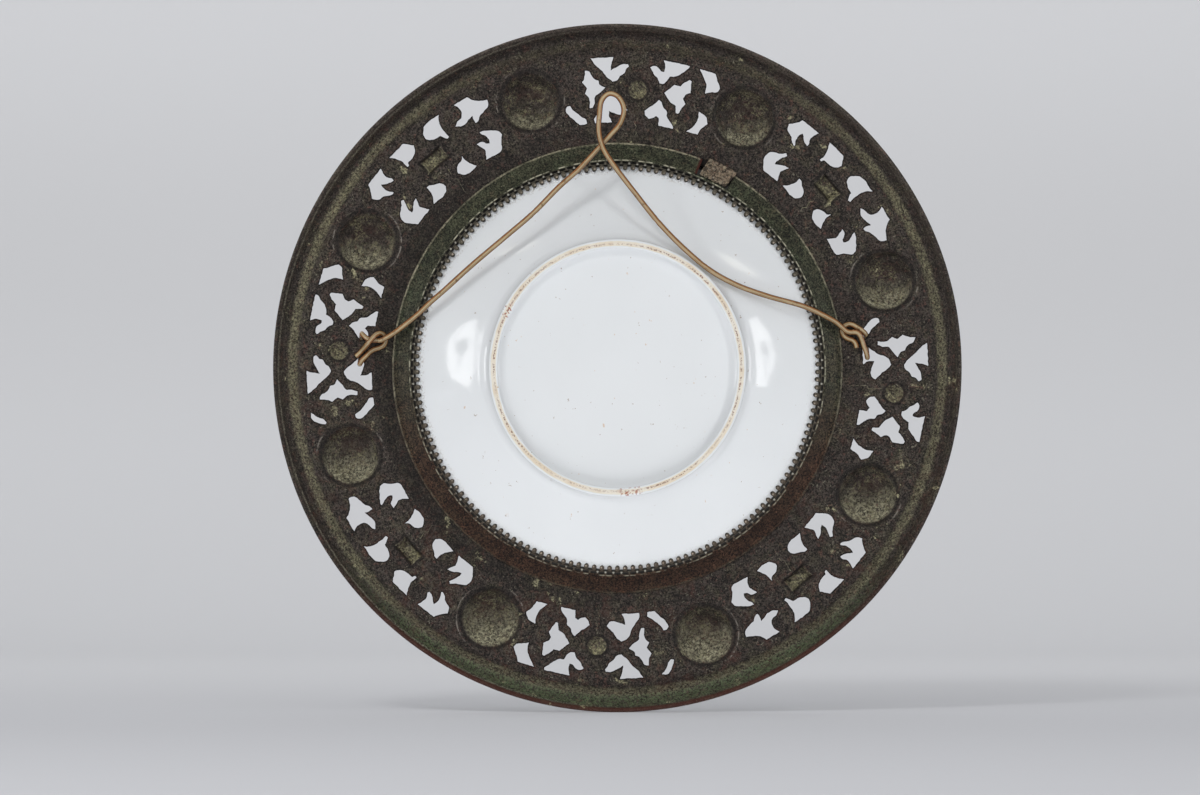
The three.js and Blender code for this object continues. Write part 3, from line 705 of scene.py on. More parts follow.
def near_hole(places, outline):
    """Which places lie within HOLE_REACH of an outline's box, how far each of those is from the outline,
    and whether it lies inside it, counted by the sides that a line to the right crosses."""
    low = outline.min(axis=0) - HOLE_REACH
    high = outline.max(axis=0) + HOLE_REACH
    chosen = np.flatnonzero(((places > low) & (places < high)).all(axis=1))
    start = outline[None]
    side = np.roll(outline, -1, axis=0)[None] - start
    away = places[chosen][:, None] - start
    share = np.clip((away * side).sum(axis=2) / (side ** 2).sum(axis=2), 0, 1)
    distance = np.linalg.norm(away - share[..., None] * side, axis=2).min(axis=1)
    above = away[..., 1] >= 0
    end_above = (away - side)[..., 1] >= 0
    safe_rise = np.where(side[..., 1] == 0, 1e-12, side[..., 1])
    crosses = (above != end_above) & (away[..., 0] < away[..., 1] / safe_rise * side[..., 0])
    return chosen, distance, crosses.sum(axis=1) % 2 == 1


def hole_distance(places, outlines):
    """Distance from each place to the nearest outline, at most HOLE_REACH, and whether it is in a hole."""
    nearest = np.full(len(places), HOLE_REACH)
    inside = np.zeros(len(places), bool)
    for outline in outlines:
        chosen, distance, within = near_hole(places, outline)
        nearest[chosen] = np.minimum(nearest[chosen], distance)
        inside[chosen] |= within
    return nearest, inside


BOSS_ANGLES = PATTERN_TURN + PITCH * (np.arange(PANELS) + 0.5)
BOSS_CENTRES = polar(BOSS_ANGLES, BOSS_PLACE_RADIUS)
STUD_ANGLES = PATTERN_TURN + np.array(STUD_PLACES)[:, 0] + PITCH * np.arange(PANELS)
STUD_CENTRES = polar(STUD_ANGLES, PATTERN_RADIUS + np.array(STUD_PLACES)[:, 1])


def boss_places(places):
    """Each place as seen from the nearest boss's middle."""
    away = places[:, None] - BOSS_CENTRES
    return away[np.arange(len(places)), np.hypot(away[..., 0], away[..., 1]).argmin(axis=1)]


def stud_places(places):
    """Each place as seen from the nearest stud: along the rim, outward, 1 for a tablet or 0, and plainly
    across and up."""
    away = places[:, None] - STUD_CENTRES
    nearest = np.hypot(away[..., 0], away[..., 1]).argmin(axis=1)
    away = away[np.arange(len(places)), nearest]
    angle = np.radians(STUD_ANGLES[nearest])
    along = away[:, 0] * np.cos(angle) - away[:, 1] * np.sin(angle)
    outward = away[:, 0] * np.sin(angle) + away[:, 1] * np.cos(angle)
    return np.column_stack([along, outward, nearest % 2, away])


def stud_inside(places, length=TABLET_LENGTH, height=TABLET_HEIGHT):
    """How far each place lies inside the nearest stud's or tablet's mouth."""
    along, outward, tablet, _, _ = stud_places(places).T
    flat = tablet_inside(along, outward, length, height)
    return np.where(tablet > 0.5, flat, STUD_RADIUS - np.hypot(along, outward))


def cap(distance, mouth, depth):
    """Depth of a spherical cap of that mouth radius and depth; outside the mouth it is below zero."""
    ball = (mouth ** 2 + depth ** 2) / (2 * depth)
    return np.sqrt(np.maximum(ball ** 2 - distance ** 2, 0)) - (ball - depth)


def tablet_inside(along, outward, length, height):
    """How far a place lies inside a tablet whose four sides bend in a little at their middles."""
    half_length = length / 2 - 0.55 * (1 - (2 * outward / height) ** 2).clip(0)
    half_height = height / 2 - 0.4 * (1 - (2 * along / length) ** 2).clip(0)
    return np.minimum(half_length - np.abs(along), half_height - np.abs(outward))


def cove_depth(radius):
    """The coved border from the band: half a cosine wave down, then a quarter wave up to the lip."""
    inner = (radius - COVE_START) / (COVE_MIDDLE - COVE_START)
    outer = (radius - COVE_MIDDLE) / (COVE_OUTER - COVE_MIDDLE)
    sink = -COVE_DEPTH * (1 - np.cos(math.pi * np.clip(inner, 0, 1))) / 2
    rise = (COVE_DEPTH + LIP_HEIGHT) * (1 - np.cos(math.pi / 2 * np.clip(outer, 0, 1)))
    return sink + rise


def away_from_rings(radius):
    """1 on the band and 0 at its two ring edges, where it meets the turned parts."""
    return smoothstep(BAND_INNER, BAND_INNER + 1.5, radius) * smoothstep(BAND_OUTER, BAND_OUTER - 0.5, radius)


def band_back(places, hole_gap):
    """Back height of the band: hollow bosses with a sunk ledge and a crease, crusted studs and tablets,
    rounded hole edges, and the slow waves and small lumps of a cast surface."""
    radius = np.hypot(*places.T)
    boss = np.hypot(*boss_places(places).T)
    ledge = BOSS_LEDGE * smoothstep(BOSS_CREASE + 0.25, BOSS_CREASE - 0.35, boss)
    bent = boss + 0.35 * ripple(places, 15.0, 20)
    wobble = 0.32 * ripple(places, 6.0, 21) + 0.12 * ripple(places, 2.8, 19)
    wobble *= smoothstep(BOSS_RADIUS, 8, boss)
    hollow = soft_max(cap(bent, BOSS_RADIUS, BOSS_DEPTH) + wobble, ledge, 0.7)
    hollow *= smoothstep(BOSS_CREASE + 0.5, BOSS_CREASE - 0.1, boss)
    along, outward, tablet, _, _ = stud_places(places).T
    stud = np.hypot(along, outward)
    crust = 0.28 * ripple(places, 1.9, 22) + 0.14 * ripple(places, 0.9, 23)
    round_depth = soft_max(cap(stud, STUD_RADIUS, STUD_DEPTH), 0.0, 0.35)
    round_depth = (round_depth + crust) * smoothstep(STUD_RADIUS + 0.6, STUD_RADIUS - 0.6, stud)
    inside = tablet_inside(along, outward, TABLET_LENGTH, TABLET_HEIGHT)
    tablet_depth = (TABLET_DEPTH + crust) * smoothstep(-0.15, 1.15, inside)
    studs = np.where(tablet > 0.5, tablet_depth, round_depth)
    waves = 0.15 * ripple(places, 24.0, 24) + 0.09 * ripple(places, 6.5, 25) + 0.05 * ripple(places, 3.2, 26)
    waves *= smoothstep(BAND_INNER, BAND_INNER + 4, radius)
    edge = EDGE_DROP * (1 - smoothstep(0, HOLE_OFFSETS[-1], hole_gap))
    relief = (waves - hollow - studs - edge) * away_from_rings(radius)
    return relief + cove_depth(radius)


def band_front(places, hole_gap):
    """Front height of the band: plain, with the bosses' domes and the studs proud of it."""
    radius = np.hypot(*places.T)
    boss = np.hypot(*boss_places(places).T)
    dome = soft_max(cap(boss, BOSS_RADIUS + BOSS_WALL, BOSS_DEPTH + BOSS_WALL), BAND_THICKNESS, 0.5)
    along, outward, tablet, _, _ = stud_places(places).T
    stud = np.hypot(along, outward)
    round_height = cap(stud, STUD_RADIUS + STUD_WALL, STUD_FRONT)
    grown = 2 * STUD_WALL
    inside = tablet_inside(along, outward, TABLET_LENGTH + grown, TABLET_HEIGHT + grown)
    tablet_height = STUD_FRONT * smoothstep(-0.1, 0.9, inside)
    studs = soft_max(np.where(tablet > 0.5, tablet_height, round_height), BAND_THICKNESS, 0.3)
    edge = 0.2 * (1 - smoothstep(0, HOLE_OFFSETS[-1], hole_gap))
    height = np.maximum(dome, studs) - BAND_THICKNESS - edge
    height += 0.05 * ripple(places, 9.0, 27)
    return -BAND_THICKNESS - height * away_from_rings(radius)


def ring_points(centre, radius, step, turn=0.0):
    """Even points round a circle."""
    count = max(6, round(2 * math.pi * radius / step))
    return centre + polar(np.arange(count) * 360 / count + turn, radius)


def honeycomb(low, high, step):
    """Points of a grid whose rows are shifted by half a step in turn."""
    x, z = np.meshgrid(np.arange(low[0], high[0], step), np.arange(low[1], high[1], step * math.sqrt(0.75)))
    x = x + (np.arange(len(x)) % 2)[:, None] * step / 2
    return np.column_stack([x.ravel(), z.ravel()])


def band_points(outlines):
    """The free points of the band's net: rings round the bosses, fine points on the studs, two lines of
    points along each hole, and a honeycomb between them all."""
    groups = []
    for index, centre in enumerate(BOSS_CENTRES):
        for number, radius in enumerate(BOSS_RINGS):
            groups.append(ring_points(centre, radius, BOSS_RING_STEP, turn=3.7 * number + index))
    rings = np.concatenate(groups)
    reach = max(TABLET_LENGTH, TABLET_HEIGHT) / 2 + 1
    fine = np.concatenate([honeycomb(centre - reach, centre + reach, FINE_STEP) for centre in STUD_CENTRES])
    fine = fine[stud_inside(fine) > -0.6]
    edges = []
    for outline in outlines:
        way = np.roll(outline, -1, axis=0) - np.roll(outline, 1, axis=0)
        way /= np.hypot(*way.T)[:, None]
        square = np.column_stack([way[:, 1], -way[:, 0]])
        for offset in HOLE_OFFSETS:
            for side in (1, -1):
                moved = outline + square * offset * side
                edges.append(moved[:: 1 if offset == HOLE_OFFSETS[0] else 2])
    edges = np.concatenate(edges)
    gap, inside = hole_distance(edges, outlines)
    near_offset = np.abs(gap[:, None] - HOLE_OFFSETS).min(axis=1) < 0.12
    edges = edges[near_offset & ~inside]
    span = np.array([BAND_OUTER, BAND_OUTER])
    plain = honeycomb(-span, span, GRID_STEP)
    boss = np.hypot(*boss_places(plain).T)
    plain = plain[(boss < BOSS_RINGS[0] - 0.7) | (boss > BOSS_RINGS[-1] + 0.7)]
    plain = plain[stud_inside(plain) < -1.1]
    free = np.concatenate([rings, fine, plain])
    gap, inside = hole_distance(free, outlines)
    free = np.concatenate([free[(gap > HOLE_OFFSETS[-1] + 0.5) & ~inside], edges])
    radius = np.hypot(*free.T)
    return free[(radius > BAND_INNER + 0.6) & (radius < BAND_OUTER - 0.5)]


def band_net(outlines):
    """The band's flat net of triangles round its holes, from Delaunay's rule with the edges kept."""
    around = np.arange(RIM_COLUMNS) * 360 / RIM_COLUMNS
    loops = [polar(around, BAND_INNER), polar(around, BAND_OUTER)] + outlines
    sides = []
    start = 0
    for loop in loops:
        index = np.arange(len(loop))
        sides += list(zip((start + index).tolist(), (start + (index + 1) % len(loop)).tolist()))
        start += len(loop)
    places = np.concatenate(loops + [band_points(outlines)])
    net = delaunay_2d_cdt([Vector(place) for place in places], sides, [], 0, 1e-5, False)
    flat = np.array([tuple(place) for place in net[0]])
    faces = np.array(net[2])
    middles = flat[faces].mean(axis=1)
    _, inside = hole_distance(middles, outlines)
    farthest = np.hypot(*np.moveaxis(flat[faces], -1, 0)).max(axis=1)
    return flat, faces[(farthest > BAND_INNER + 0.01) & ~inside]


def border_profile():
    """The border's section from the band's back edge over the cove, lip and rolled front to its front."""
    sinking = np.linspace(BAND_OUTER, COVE_MIDDLE, 9)
    rising = np.linspace(COVE_MIDDLE, COVE_OUTER, 10)[1:]
    radius = np.concatenate([sinking, rising])
    cove = np.stack([radius, cove_depth(radius)], axis=1)
    top = LIP_HEIGHT
    lip = np.array([
        [COVE_OUTER + 0.25, top + 0.12], [RIM_RADIUS - 0.55, top + 0.1],
        [RIM_RADIUS - 0.15, top - 0.2], [RIM_RADIUS, top - 0.8],
    ])
    middle = (COVE_START + RIM_RADIUS) / 2
    half = (RIM_RADIUS - COVE_START) / 2
    roll = arc((middle, 0), (half, -ROLL_DEPTH), 0, 162, 16)
    end = np.array([[BAND_OUTER, -BAND_THICKNESS]])
    return np.concatenate([cove, lip, roll, end])


def seat_profile():
    """The inner section from the band's front over the moulding and the seat to the band's back."""
    middle = (SEAT_RADIUS + BAND_INNER) / 2
    half = (BAND_INNER - SEAT_RADIUS) / 2
    moulding = arc((middle, -BAND_THICKNESS), (half, -MOULDING_DEPTH), 0, 150, 15)
    seat = np.array([
        [SEAT_RADIUS + 0.35, -SEAT_DEPTH], [REBATE_RADIUS, -SEAT_DEPTH], [REBATE_RADIUS, 0], [BAND_INNER, 0],
    ])
    return np.concatenate([moulding, seat])


def rim_shape(outlines):
    """The whole casting: the pierced band, the turned border outside it and the turned seat inside."""
    flat, faces = band_net(outlines)
    hole_gap, _ = hole_distance(flat, outlines)

    def on_ring_edge(starts, ends):
        """Whether both ends of a side lie on one of the band's two ring edges."""
        far = np.hypot(*starts.T), np.hypot(*ends.T)
        inner = (far[0] < BAND_INNER + 0.01) & (far[1] < BAND_INNER + 0.01)
        outer = (far[0] > BAND_OUTER - 0.01) & (far[1] > BAND_OUTER - 0.01)
        return inner | outer

    band = sheet_solid(flat, [faces], band_back(flat, hole_gap), band_front(flat, hole_gap), on_ring_edge)
    border_points, border_faces = turned(border_profile(), RIM_COLUMNS)
    seat_points, seat_faces = turned(seat_profile(), RIM_COLUMNS)
    radius = np.hypot(border_points[:, 0], border_points[:, 2])
    dents = 0.10 * ripple(border_points, 16.0, 31) + 0.05 * ripple(border_points, 5.0, 32)
    dents *= smoothstep(BAND_OUTER, BAND_OUTER + 2, radius)
    border_points[:, 1] += dents
    return joined([band, (border_points, border_faces), (seat_points, seat_faces)])


# Toothed strip

def strip_back(flat, tooth_rise):
    """Back height of the strip: rounded teeth that dip to their tips, a low channel with the slots, the
    ridge, and a cone down to a beaded foot on the band."""
    radius = np.hypot(*flat.T)
    slope = (COLLAR_FOOT - radius) / (COLLAR_FOOT - COLLAR_TOP)
    cone = FIT_GAP + COLLAR_HEIGHT * np.clip(slope, 0, 1) - 0.35 * np.sin(math.pi * np.clip(slope, 0, 1))
    bead = 0.55 * np.exp(-((radius - COLLAR_FOOT + 0.75) / 0.75) ** 2)
    toothed = TOOTH_BACK + tooth_rise - 0.16 * smoothstep(TOOTH_ROOT + 0.3, TOOTH_TIP, radius)
    ridge = smoothstep(SLOT_OUTER - 0.1, COLLAR_TOP - 0.25, radius)
    return np.where(radius > COLLAR_TOP, cone + bead, toothed * (1 - ridge) + (cone + 0.05) * ridge)


def strip_front(flat):
    """Front height of the strip: flat under the teeth, then a cone down to the foot."""
    radius = np.hypot(*flat.T)
    slope = np.clip((COLLAR_FOOT - 1.8 - radius) / (COLLAR_FOOT - 1.8 - COLLAR_TOP), 0, 1)
    return FOOT_GAP + (STRIP_FRONT - FOOT_GAP) * slope


def strip_shape():
    """A flat net in polar rows, with rounded tongues for teeth on its inner edge, open slots, and the
    sector of the splice left out, given its thickness."""
    stations = np.array(TOOTH_STATIONS)
    per_tooth = len(stations)
    pitch = 360 / TOOTH_COUNT
    columns = TOOTH_COUNT * per_tooth
    degrees = ((np.arange(TOOTH_COUNT)[:, None] + stations) * pitch).ravel()
    rows = np.array([
        TOOTH_ROOT, SLOT_INNER, SLOT_OUTER, 90.1, 90.35, COLLAR_TOP, 90.85, SPLICE_CUT, 93.0, 95.0, 96.4,
        96.9, 97.3, 97.7, 98.0, COLLAR_FOOT,
    ])
    flat = polar(np.tile(degrees, len(rows)), np.repeat(rows, columns))
    faces = grid_faces(len(rows), columns, wrap_columns=True)
    row = np.repeat(np.arange(len(rows) - 1), columns)
    station = np.tile(np.arange(columns) % per_tooth, len(rows) - 1)
    middle = np.tile((degrees + np.roll(degrees, -1)) / 2 % 360, len(rows) - 1)
    in_slot = (row == 1) & (station > 0) & (station < per_tooth - 1)
    in_gap = (rows[row] >= SPLICE_CUT) & (middle > GAP_START) & (middle < GAP_END)
    faces = faces[~in_slot & ~in_gap]
    draw = np.random.default_rng(5)
    lean = draw.normal(0, 0.018, TOOTH_COUNT)
    grown = draw.normal(0, 0.09, TOOTH_COUNT)
    lift = draw.normal(0, 0.05, TOOTH_COUNT)
    across = stations[1:]
    tooth_rows = []
    tooth_rises = []
    for share, width, round_end in TOOTH_ROWS:
        angle = (np.arange(TOOTH_COUNT)[:, None] + lean[:, None] * share + across * width) * pitch
        reach = (TOOTH_ROOT - TOOTH_TIP + grown[:, None]) * share
        reach = reach + round_end * (1 - (across / across[-1]) ** 2)
        tooth_rows.append(polar(angle, TOOTH_ROOT - reach))
        rise = 0.24 * (1 - (across / across[-1]) ** 2) + lift[:, None]
        tooth_rises.append(rise - 0.25 * (share > 0.9))
    teeth = np.stack(tooth_rows)
    start = len(flat)
    root = (np.arange(TOOTH_COUNT)[:, None] * per_tooth + np.arange(1, per_tooth))
    index = start + np.arange(teeth.size // 2).reshape(teeth.shape[:3])
    lines = np.concatenate([root[None], index])
    tooth_faces = np.stack([
        lines[1:, :, :-1], lines[1:, :, 1:], lines[:-1, :, 1:], lines[:-1, :, :-1],
    ], axis=-1).reshape(-1, 4)
    flat = np.concatenate([flat, teeth.reshape(-1, 2)])
    rises = np.concatenate([np.zeros(start), np.stack(tooth_rises).ravel()])
    used, renumbered = np.unique(np.concatenate([faces, tooth_faces]), return_inverse=True)
    faces = renumbered.reshape(-1, 4)
    flat = flat[used]
    rises = rises[used]
    handled = 0.06 * ripple(flat, 13.0, 41) + 0.03 * ripple(flat, 4.0, 42)
    backs = strip_back(flat, rises) + handled
    return sheet_solid(flat, [faces], backs, strip_front(flat))


def splice_shape():
    """A block of the collar's section, proud of it: its closed section is carried round the sector, with
    lumps, and with cracks that cut across it. Both ends close on a middle point."""
    section = np.array([
        [COLLAR_FOOT + 1.7, FIT_GAP], [COLLAR_FOOT + 1.7, 0.9], [COLLAR_FOOT + 0.9, 1.5], [96.6, 2.4],
        [94.6, 3.5], [92.9, 4.6], [92.0, 5.0], [91.5, 4.7], [91.5, 3.4], [93.5, 1.9], [96.4, FIT_GAP],
    ])
    closed = np.vstack([section, section[:1]])
    travelled = np.concatenate([[0], np.cumsum(np.hypot(*np.diff(closed, axis=0).T))])
    steps = np.linspace(0, travelled[-1], SPLICE_LOOP, endpoint=False)
    loop = np.stack([np.interp(steps, travelled, axis) for axis in closed.T], axis=1)
    middle = loop.mean(axis=0)
    outward = loop - middle
    outward /= np.hypot(*outward.T)[:, None]
    degrees = np.linspace(SPLICE_START, SPLICE_END, SPLICE_COLUMNS)
    lean = (loop[None, :, 0] - SPLICE_MIDDLE) * SPLICE_LEAN
    around = np.broadcast_to(degrees[:, None], (SPLICE_COLUMNS, SPLICE_LOOP)) + lean
    places = polar(around, loop[None, :, 0])
    lumps = ripple(places.reshape(-1, 2), 4.5, 51) * 0.20 + ripple(places.reshape(-1, 2), 1.7, 52) * 0.12
    for crack in SPLICE_CRACKS:
        bend = crack + 0.35 * np.sin(loop[None, :, 0] * 1.9 + crack)
        lumps -= CRACK_DEPTH * np.exp(-(((degrees[:, None] - bend) / CRACK_WIDTH) ** 2)).ravel()
    shrink = np.minimum(degrees - SPLICE_START, SPLICE_END - degrees)
    lumps -= np.repeat(0.35 * np.exp(-shrink / 0.12), SPLICE_LOOP)
    lumps = lumps.reshape(SPLICE_COLUMNS, SPLICE_LOOP)
    upper = smoothstep(0.4, 1.2, loop[:, 1])
    grown = loop[None] + outward[None] * (lumps * upper)[..., None]
    flat = polar(around, grown[..., 0])
    block = np.stack([flat[..., 0], MIDDLE - grown[..., 1], flat[..., 1]], axis=-1)
    first = np.broadcast_to(block[0].mean(axis=0), (1, SPLICE_LOOP, 3))
    last = np.broadcast_to(block[-1].mean(axis=0), (1, SPLICE_LOOP, 3))
    points = np.concatenate([first, block, last])
    return points.reshape(-1, 3), [grid_faces(len(points), SPLICE_LOOP, wrap_columns=True)]


# Helpers for materials

def tone(red, green, blue):
    """A colour's linear values from its 0 to 255 screen values."""
    value = np.array([red, green, blue]) / 255
    linear = np.where(value <= 0.04045, value / 12.92, ((value + 0.055) / 1.055) ** 2.4)
    return (*linear, 1.0)


class Tree:
    """Adds nodes to a material or a group. An input is given as a value or as another node's output."""

    def __init__(self, tree):
        self.tree = tree

    def feed(self, socket, value):
        if isinstance(value, bpy.types.NodeSocket):
            self.tree.links.new(value, socket)
        else:
            socket.default_value = value

    def add(self, kind, inputs=None, **settings):
        made = self.tree.nodes.new("ShaderNode" + kind)
        for name, value in settings.items():
            setattr(made, name, value)
        for name, value in (inputs or {}).items():
            self.feed(made.inputs[name], value)
        return made

    def math(self, operation, first, second=0.0, clamp=False):
        return self.add("Math", {0: first, 1: second}, operation=operation, use_clamp=clamp).outputs[0]

    def times(self, *values):
        """The product of the values, from the first to the last."""
        product = values[0]
        for value in values[1:]:
            product = self.math("MULTIPLY", product, value)
        return product

    def mix(self, share, first, second, blend="MIX"):
        inputs = {"Factor": share, 6: first, 7: second}
        return self.add("Mix", inputs, data_type="RGBA", blend_type=blend).outputs[2]

    def between(self, share, first, second):
        return self.add("Mix", {"Factor": share, 2: first, 3: second}, data_type="FLOAT").outputs[0]

    def step(self, value, low, high, start=0.0, end=1.0):
        inputs = {"Value": value, "From Min": low, "From Max": high, "To Min": start, "To Max": end}
        return self.add("MapRange", inputs, interpolation_type="SMOOTHSTEP").outputs[0]

    def noise(self, places, size, detail=2.0, roughness=0.55, warp=0.0):
        inputs = {"Vector": places, "Scale": 1 / (size * MM), "Detail": detail, "Roughness": roughness}
        inputs["Distortion"] = warp
        return self.add("TexNoise", inputs).outputs[0]

    def use(self, group, inputs):
        made = self.tree.nodes.new("ShaderNodeGroup")
        made.node_tree = group
        for name, value in inputs.items():
            self.feed(made.inputs[name], value)
        return made.outputs

    def spots(self, places, size, threshold, softness):
        inputs = {"Places": places, "Size": size, "Threshold": threshold, "Softness": softness}
        return self.use(bpy.data.node_groups["spots"], inputs)["Mask"]

    def ring(self, places, radius, half_width, fade, ragged):
        inputs = {"Places": places, "Radius": radius, "Half Width": half_width, "Fade": fade}
        inputs["Ragged"] = ragged
        return self.use(bpy.data.node_groups["ring_stripe"], inputs)["Mask"]

    def attribute(self, name):
        return self.add("Attribute", attribute_name=name).outputs

    def object_places(self):
        return self.add("TexCoord").outputs["Object"]

    def split(self, places):
        return self.add("SeparateXYZ", {0: places}).outputs


SOCKETS = {"f": "NodeSocketFloat", "v": "NodeSocketVector", "c": "NodeSocketColor"}


def new_group(name, inputs, outputs):
    """A node group with its named inputs and outputs. Returns its tree, its inputs and its output node."""
    group = bpy.data.node_groups.new(name, "ShaderNodeTree")
    for socket, kind in inputs:
        group.interface.new_socket(name=socket, in_out="INPUT", socket_type=SOCKETS[kind])
    for socket, kind in outputs:
        group.interface.new_socket(name=socket, in_out="OUTPUT", socket_type=SOCKETS[kind])
    given = group.nodes.new("NodeGroupInput").outputs
    result = group.nodes.new("NodeGroupOutput").inputs
    return group, Tree(group), given, result


def spots_group():
    """Ragged spots: noise of the given size in millimetres, cut off at a threshold. Tree.spots places it."""
    group, tree, given, result = new_group(
        "spots", [("Places", "v"), ("Size", "f"), ("Threshold", "f"), ("Softness", "f")], [("Mask", "f")]
    )
    scale = tree.math("DIVIDE", 1 / MM, given["Size"])
    noise = tree.add("TexNoise", {"Vector": given["Places"], "Scale": scale, "Detail": 3.0, "Roughness": 0.6})
    upper = tree.math("ADD", given["Threshold"], given["Softness"])
    mask = tree.step(noise.outputs[0], given["Threshold"], upper)
    group.links.new(mask, result["Mask"])
    return group


def ring_group():
    """A ring about the plate's axis, in millimetres: full within the half width of the radius, faded out
    over the fade, with an edge made ragged by noise. Tree.ring places it."""
    inputs = [("Places", "v"), ("Radius", "f"), ("Half Width", "f"), ("Fade", "f"), ("Ragged", "f")]
    group, tree, given, result = new_group("ring_stripe", inputs, [("Mask", "f")])
    in_plane = {0: given["Places"], 1: (1 / MM, 0, 1 / MM)}
    flat = tree.add("VectorMath", in_plane, operation="MULTIPLY").outputs[0]
    radius = tree.add("VectorMath", {0: flat}, operation="LENGTH").outputs["Value"]
    noise = tree.noise(given["Places"], 2.4, detail=3.0)
    shift = tree.times(tree.math("SUBTRACT", noise, 0.5), given["Ragged"])
    away = tree.math("ABSOLUTE", tree.math("SUBTRACT", tree.math("ADD", radius, shift), given["Radius"]))
    outer = tree.math("ADD", given["Half Width"], given["Fade"])
    mask = tree.math("SUBTRACT", 1.0, tree.step(away, given["Half Width"], outer))
    group.links.new(mask, result["Mask"])
    return group


def patina_group():
    """Old metal skin: a dark and a middle colour in clouds, a tint in patches, a fine strong grain over
    all of it, rust in flecks, pale specks and dark pits. Height is low in the pits."""
    inputs = [("Places", "v"), ("Dark", "c"), ("Middle", "c"), ("Tint", "c"), ("Speck", "c"), ("Tinted", "f")]
    inputs.append(("Rusty", "f"))
    group, tree, given, result = new_group("patina", inputs, [("Color", "c"), ("Height", "f")])
    places = given["Places"]
    clouds = tree.step(tree.noise(places, 5.0, detail=5.0, roughness=0.65, warp=0.4), 0.32, 0.66)
    colour = tree.mix(clouds, given["Dark"], given["Middle"])
    patches = tree.step(tree.noise(places, 9.0, detail=6.0, roughness=0.75, warp=0.5), 0.47, 0.62)
    colour = tree.mix(tree.times(patches, given["Tinted"]), colour, given["Tint"])
    rust = tree.step(tree.noise(places, 3.2, detail=5.0, roughness=0.8), 0.55, 0.66)
    colour = tree.mix(tree.times(rust, given["Rusty"]), colour, tone(100, 56, 46))
    fine = tree.noise(places, 0.8, detail=3.0, roughness=0.85)
    grain = tree.step(fine, 0.38, 0.64, 0.2, 2.2)
    grey = tree.add("CombineXYZ", {0: grain, 1: grain, 2: grain}).outputs[0]
    colour = tree.mix(1.0, colour, grey, "MULTIPLY")
    specks = tree.spots(places, 0.85, 0.62, 0.05)
    lit = tree.times(specks, tree.step(tree.noise(places, 11.0, detail=3.0), 0.40, 0.62, 0.3, 1.0))
    colour = tree.mix(lit, colour, given["Speck"])
    shifted = tree.add("VectorMath", {0: places, 1: (0.31, 0.17, 0.23)}, operation="ADD").outputs[0]
    pits = tree.spots(shifted, 1.0, 0.58, 0.05)
    colour = tree.mix(tree.times(pits, 0.8), colour, tone(15, 13, 12))
    height = tree.math("ADD", tree.times(specks, 0.25), tree.times(fine, 0.7))
    height = tree.math("SUBTRACT", height, tree.times(pits, 0.4))
    group.links.new(colour, result["Color"])
    group.links.new(tree.math("ADD", height, 0.3), result["Height"])
    return group


def finish_material(tree, colour, roughness, height=None, bump=0.0, depth=0.0, **plain):
    """Links colour, roughness and a bump to the material's shader; plain values go on its own sockets."""
    shader = tree.tree.nodes["Principled BSDF"]
    tree.feed(shader.inputs["Base Color"], colour)
    tree.feed(shader.inputs["Roughness"], roughness)
    if height is not None:
        raised = tree.add("Bump", {"Height": height, "Strength": bump, "Distance": depth * MM})
        tree.feed(shader.inputs["Normal"], raised.outputs[0])
    for key, value in plain.items():
        shader.inputs[key.replace("_", " ")].default_value = value


def new_material(name):
    material = bpy.data.materials.new(name)
    material.use_nodes = True
    return material, Tree(material.node_tree)


def length_of(tree, first, second):
    """The distance from the middle of two coordinates."""
    both = tree.add("CombineXYZ", {0: first, 1: second, 2: 0.0}).outputs[0]
    return tree.add("VectorMath", {0: both}, operation="LENGTH").outputs["Value"]


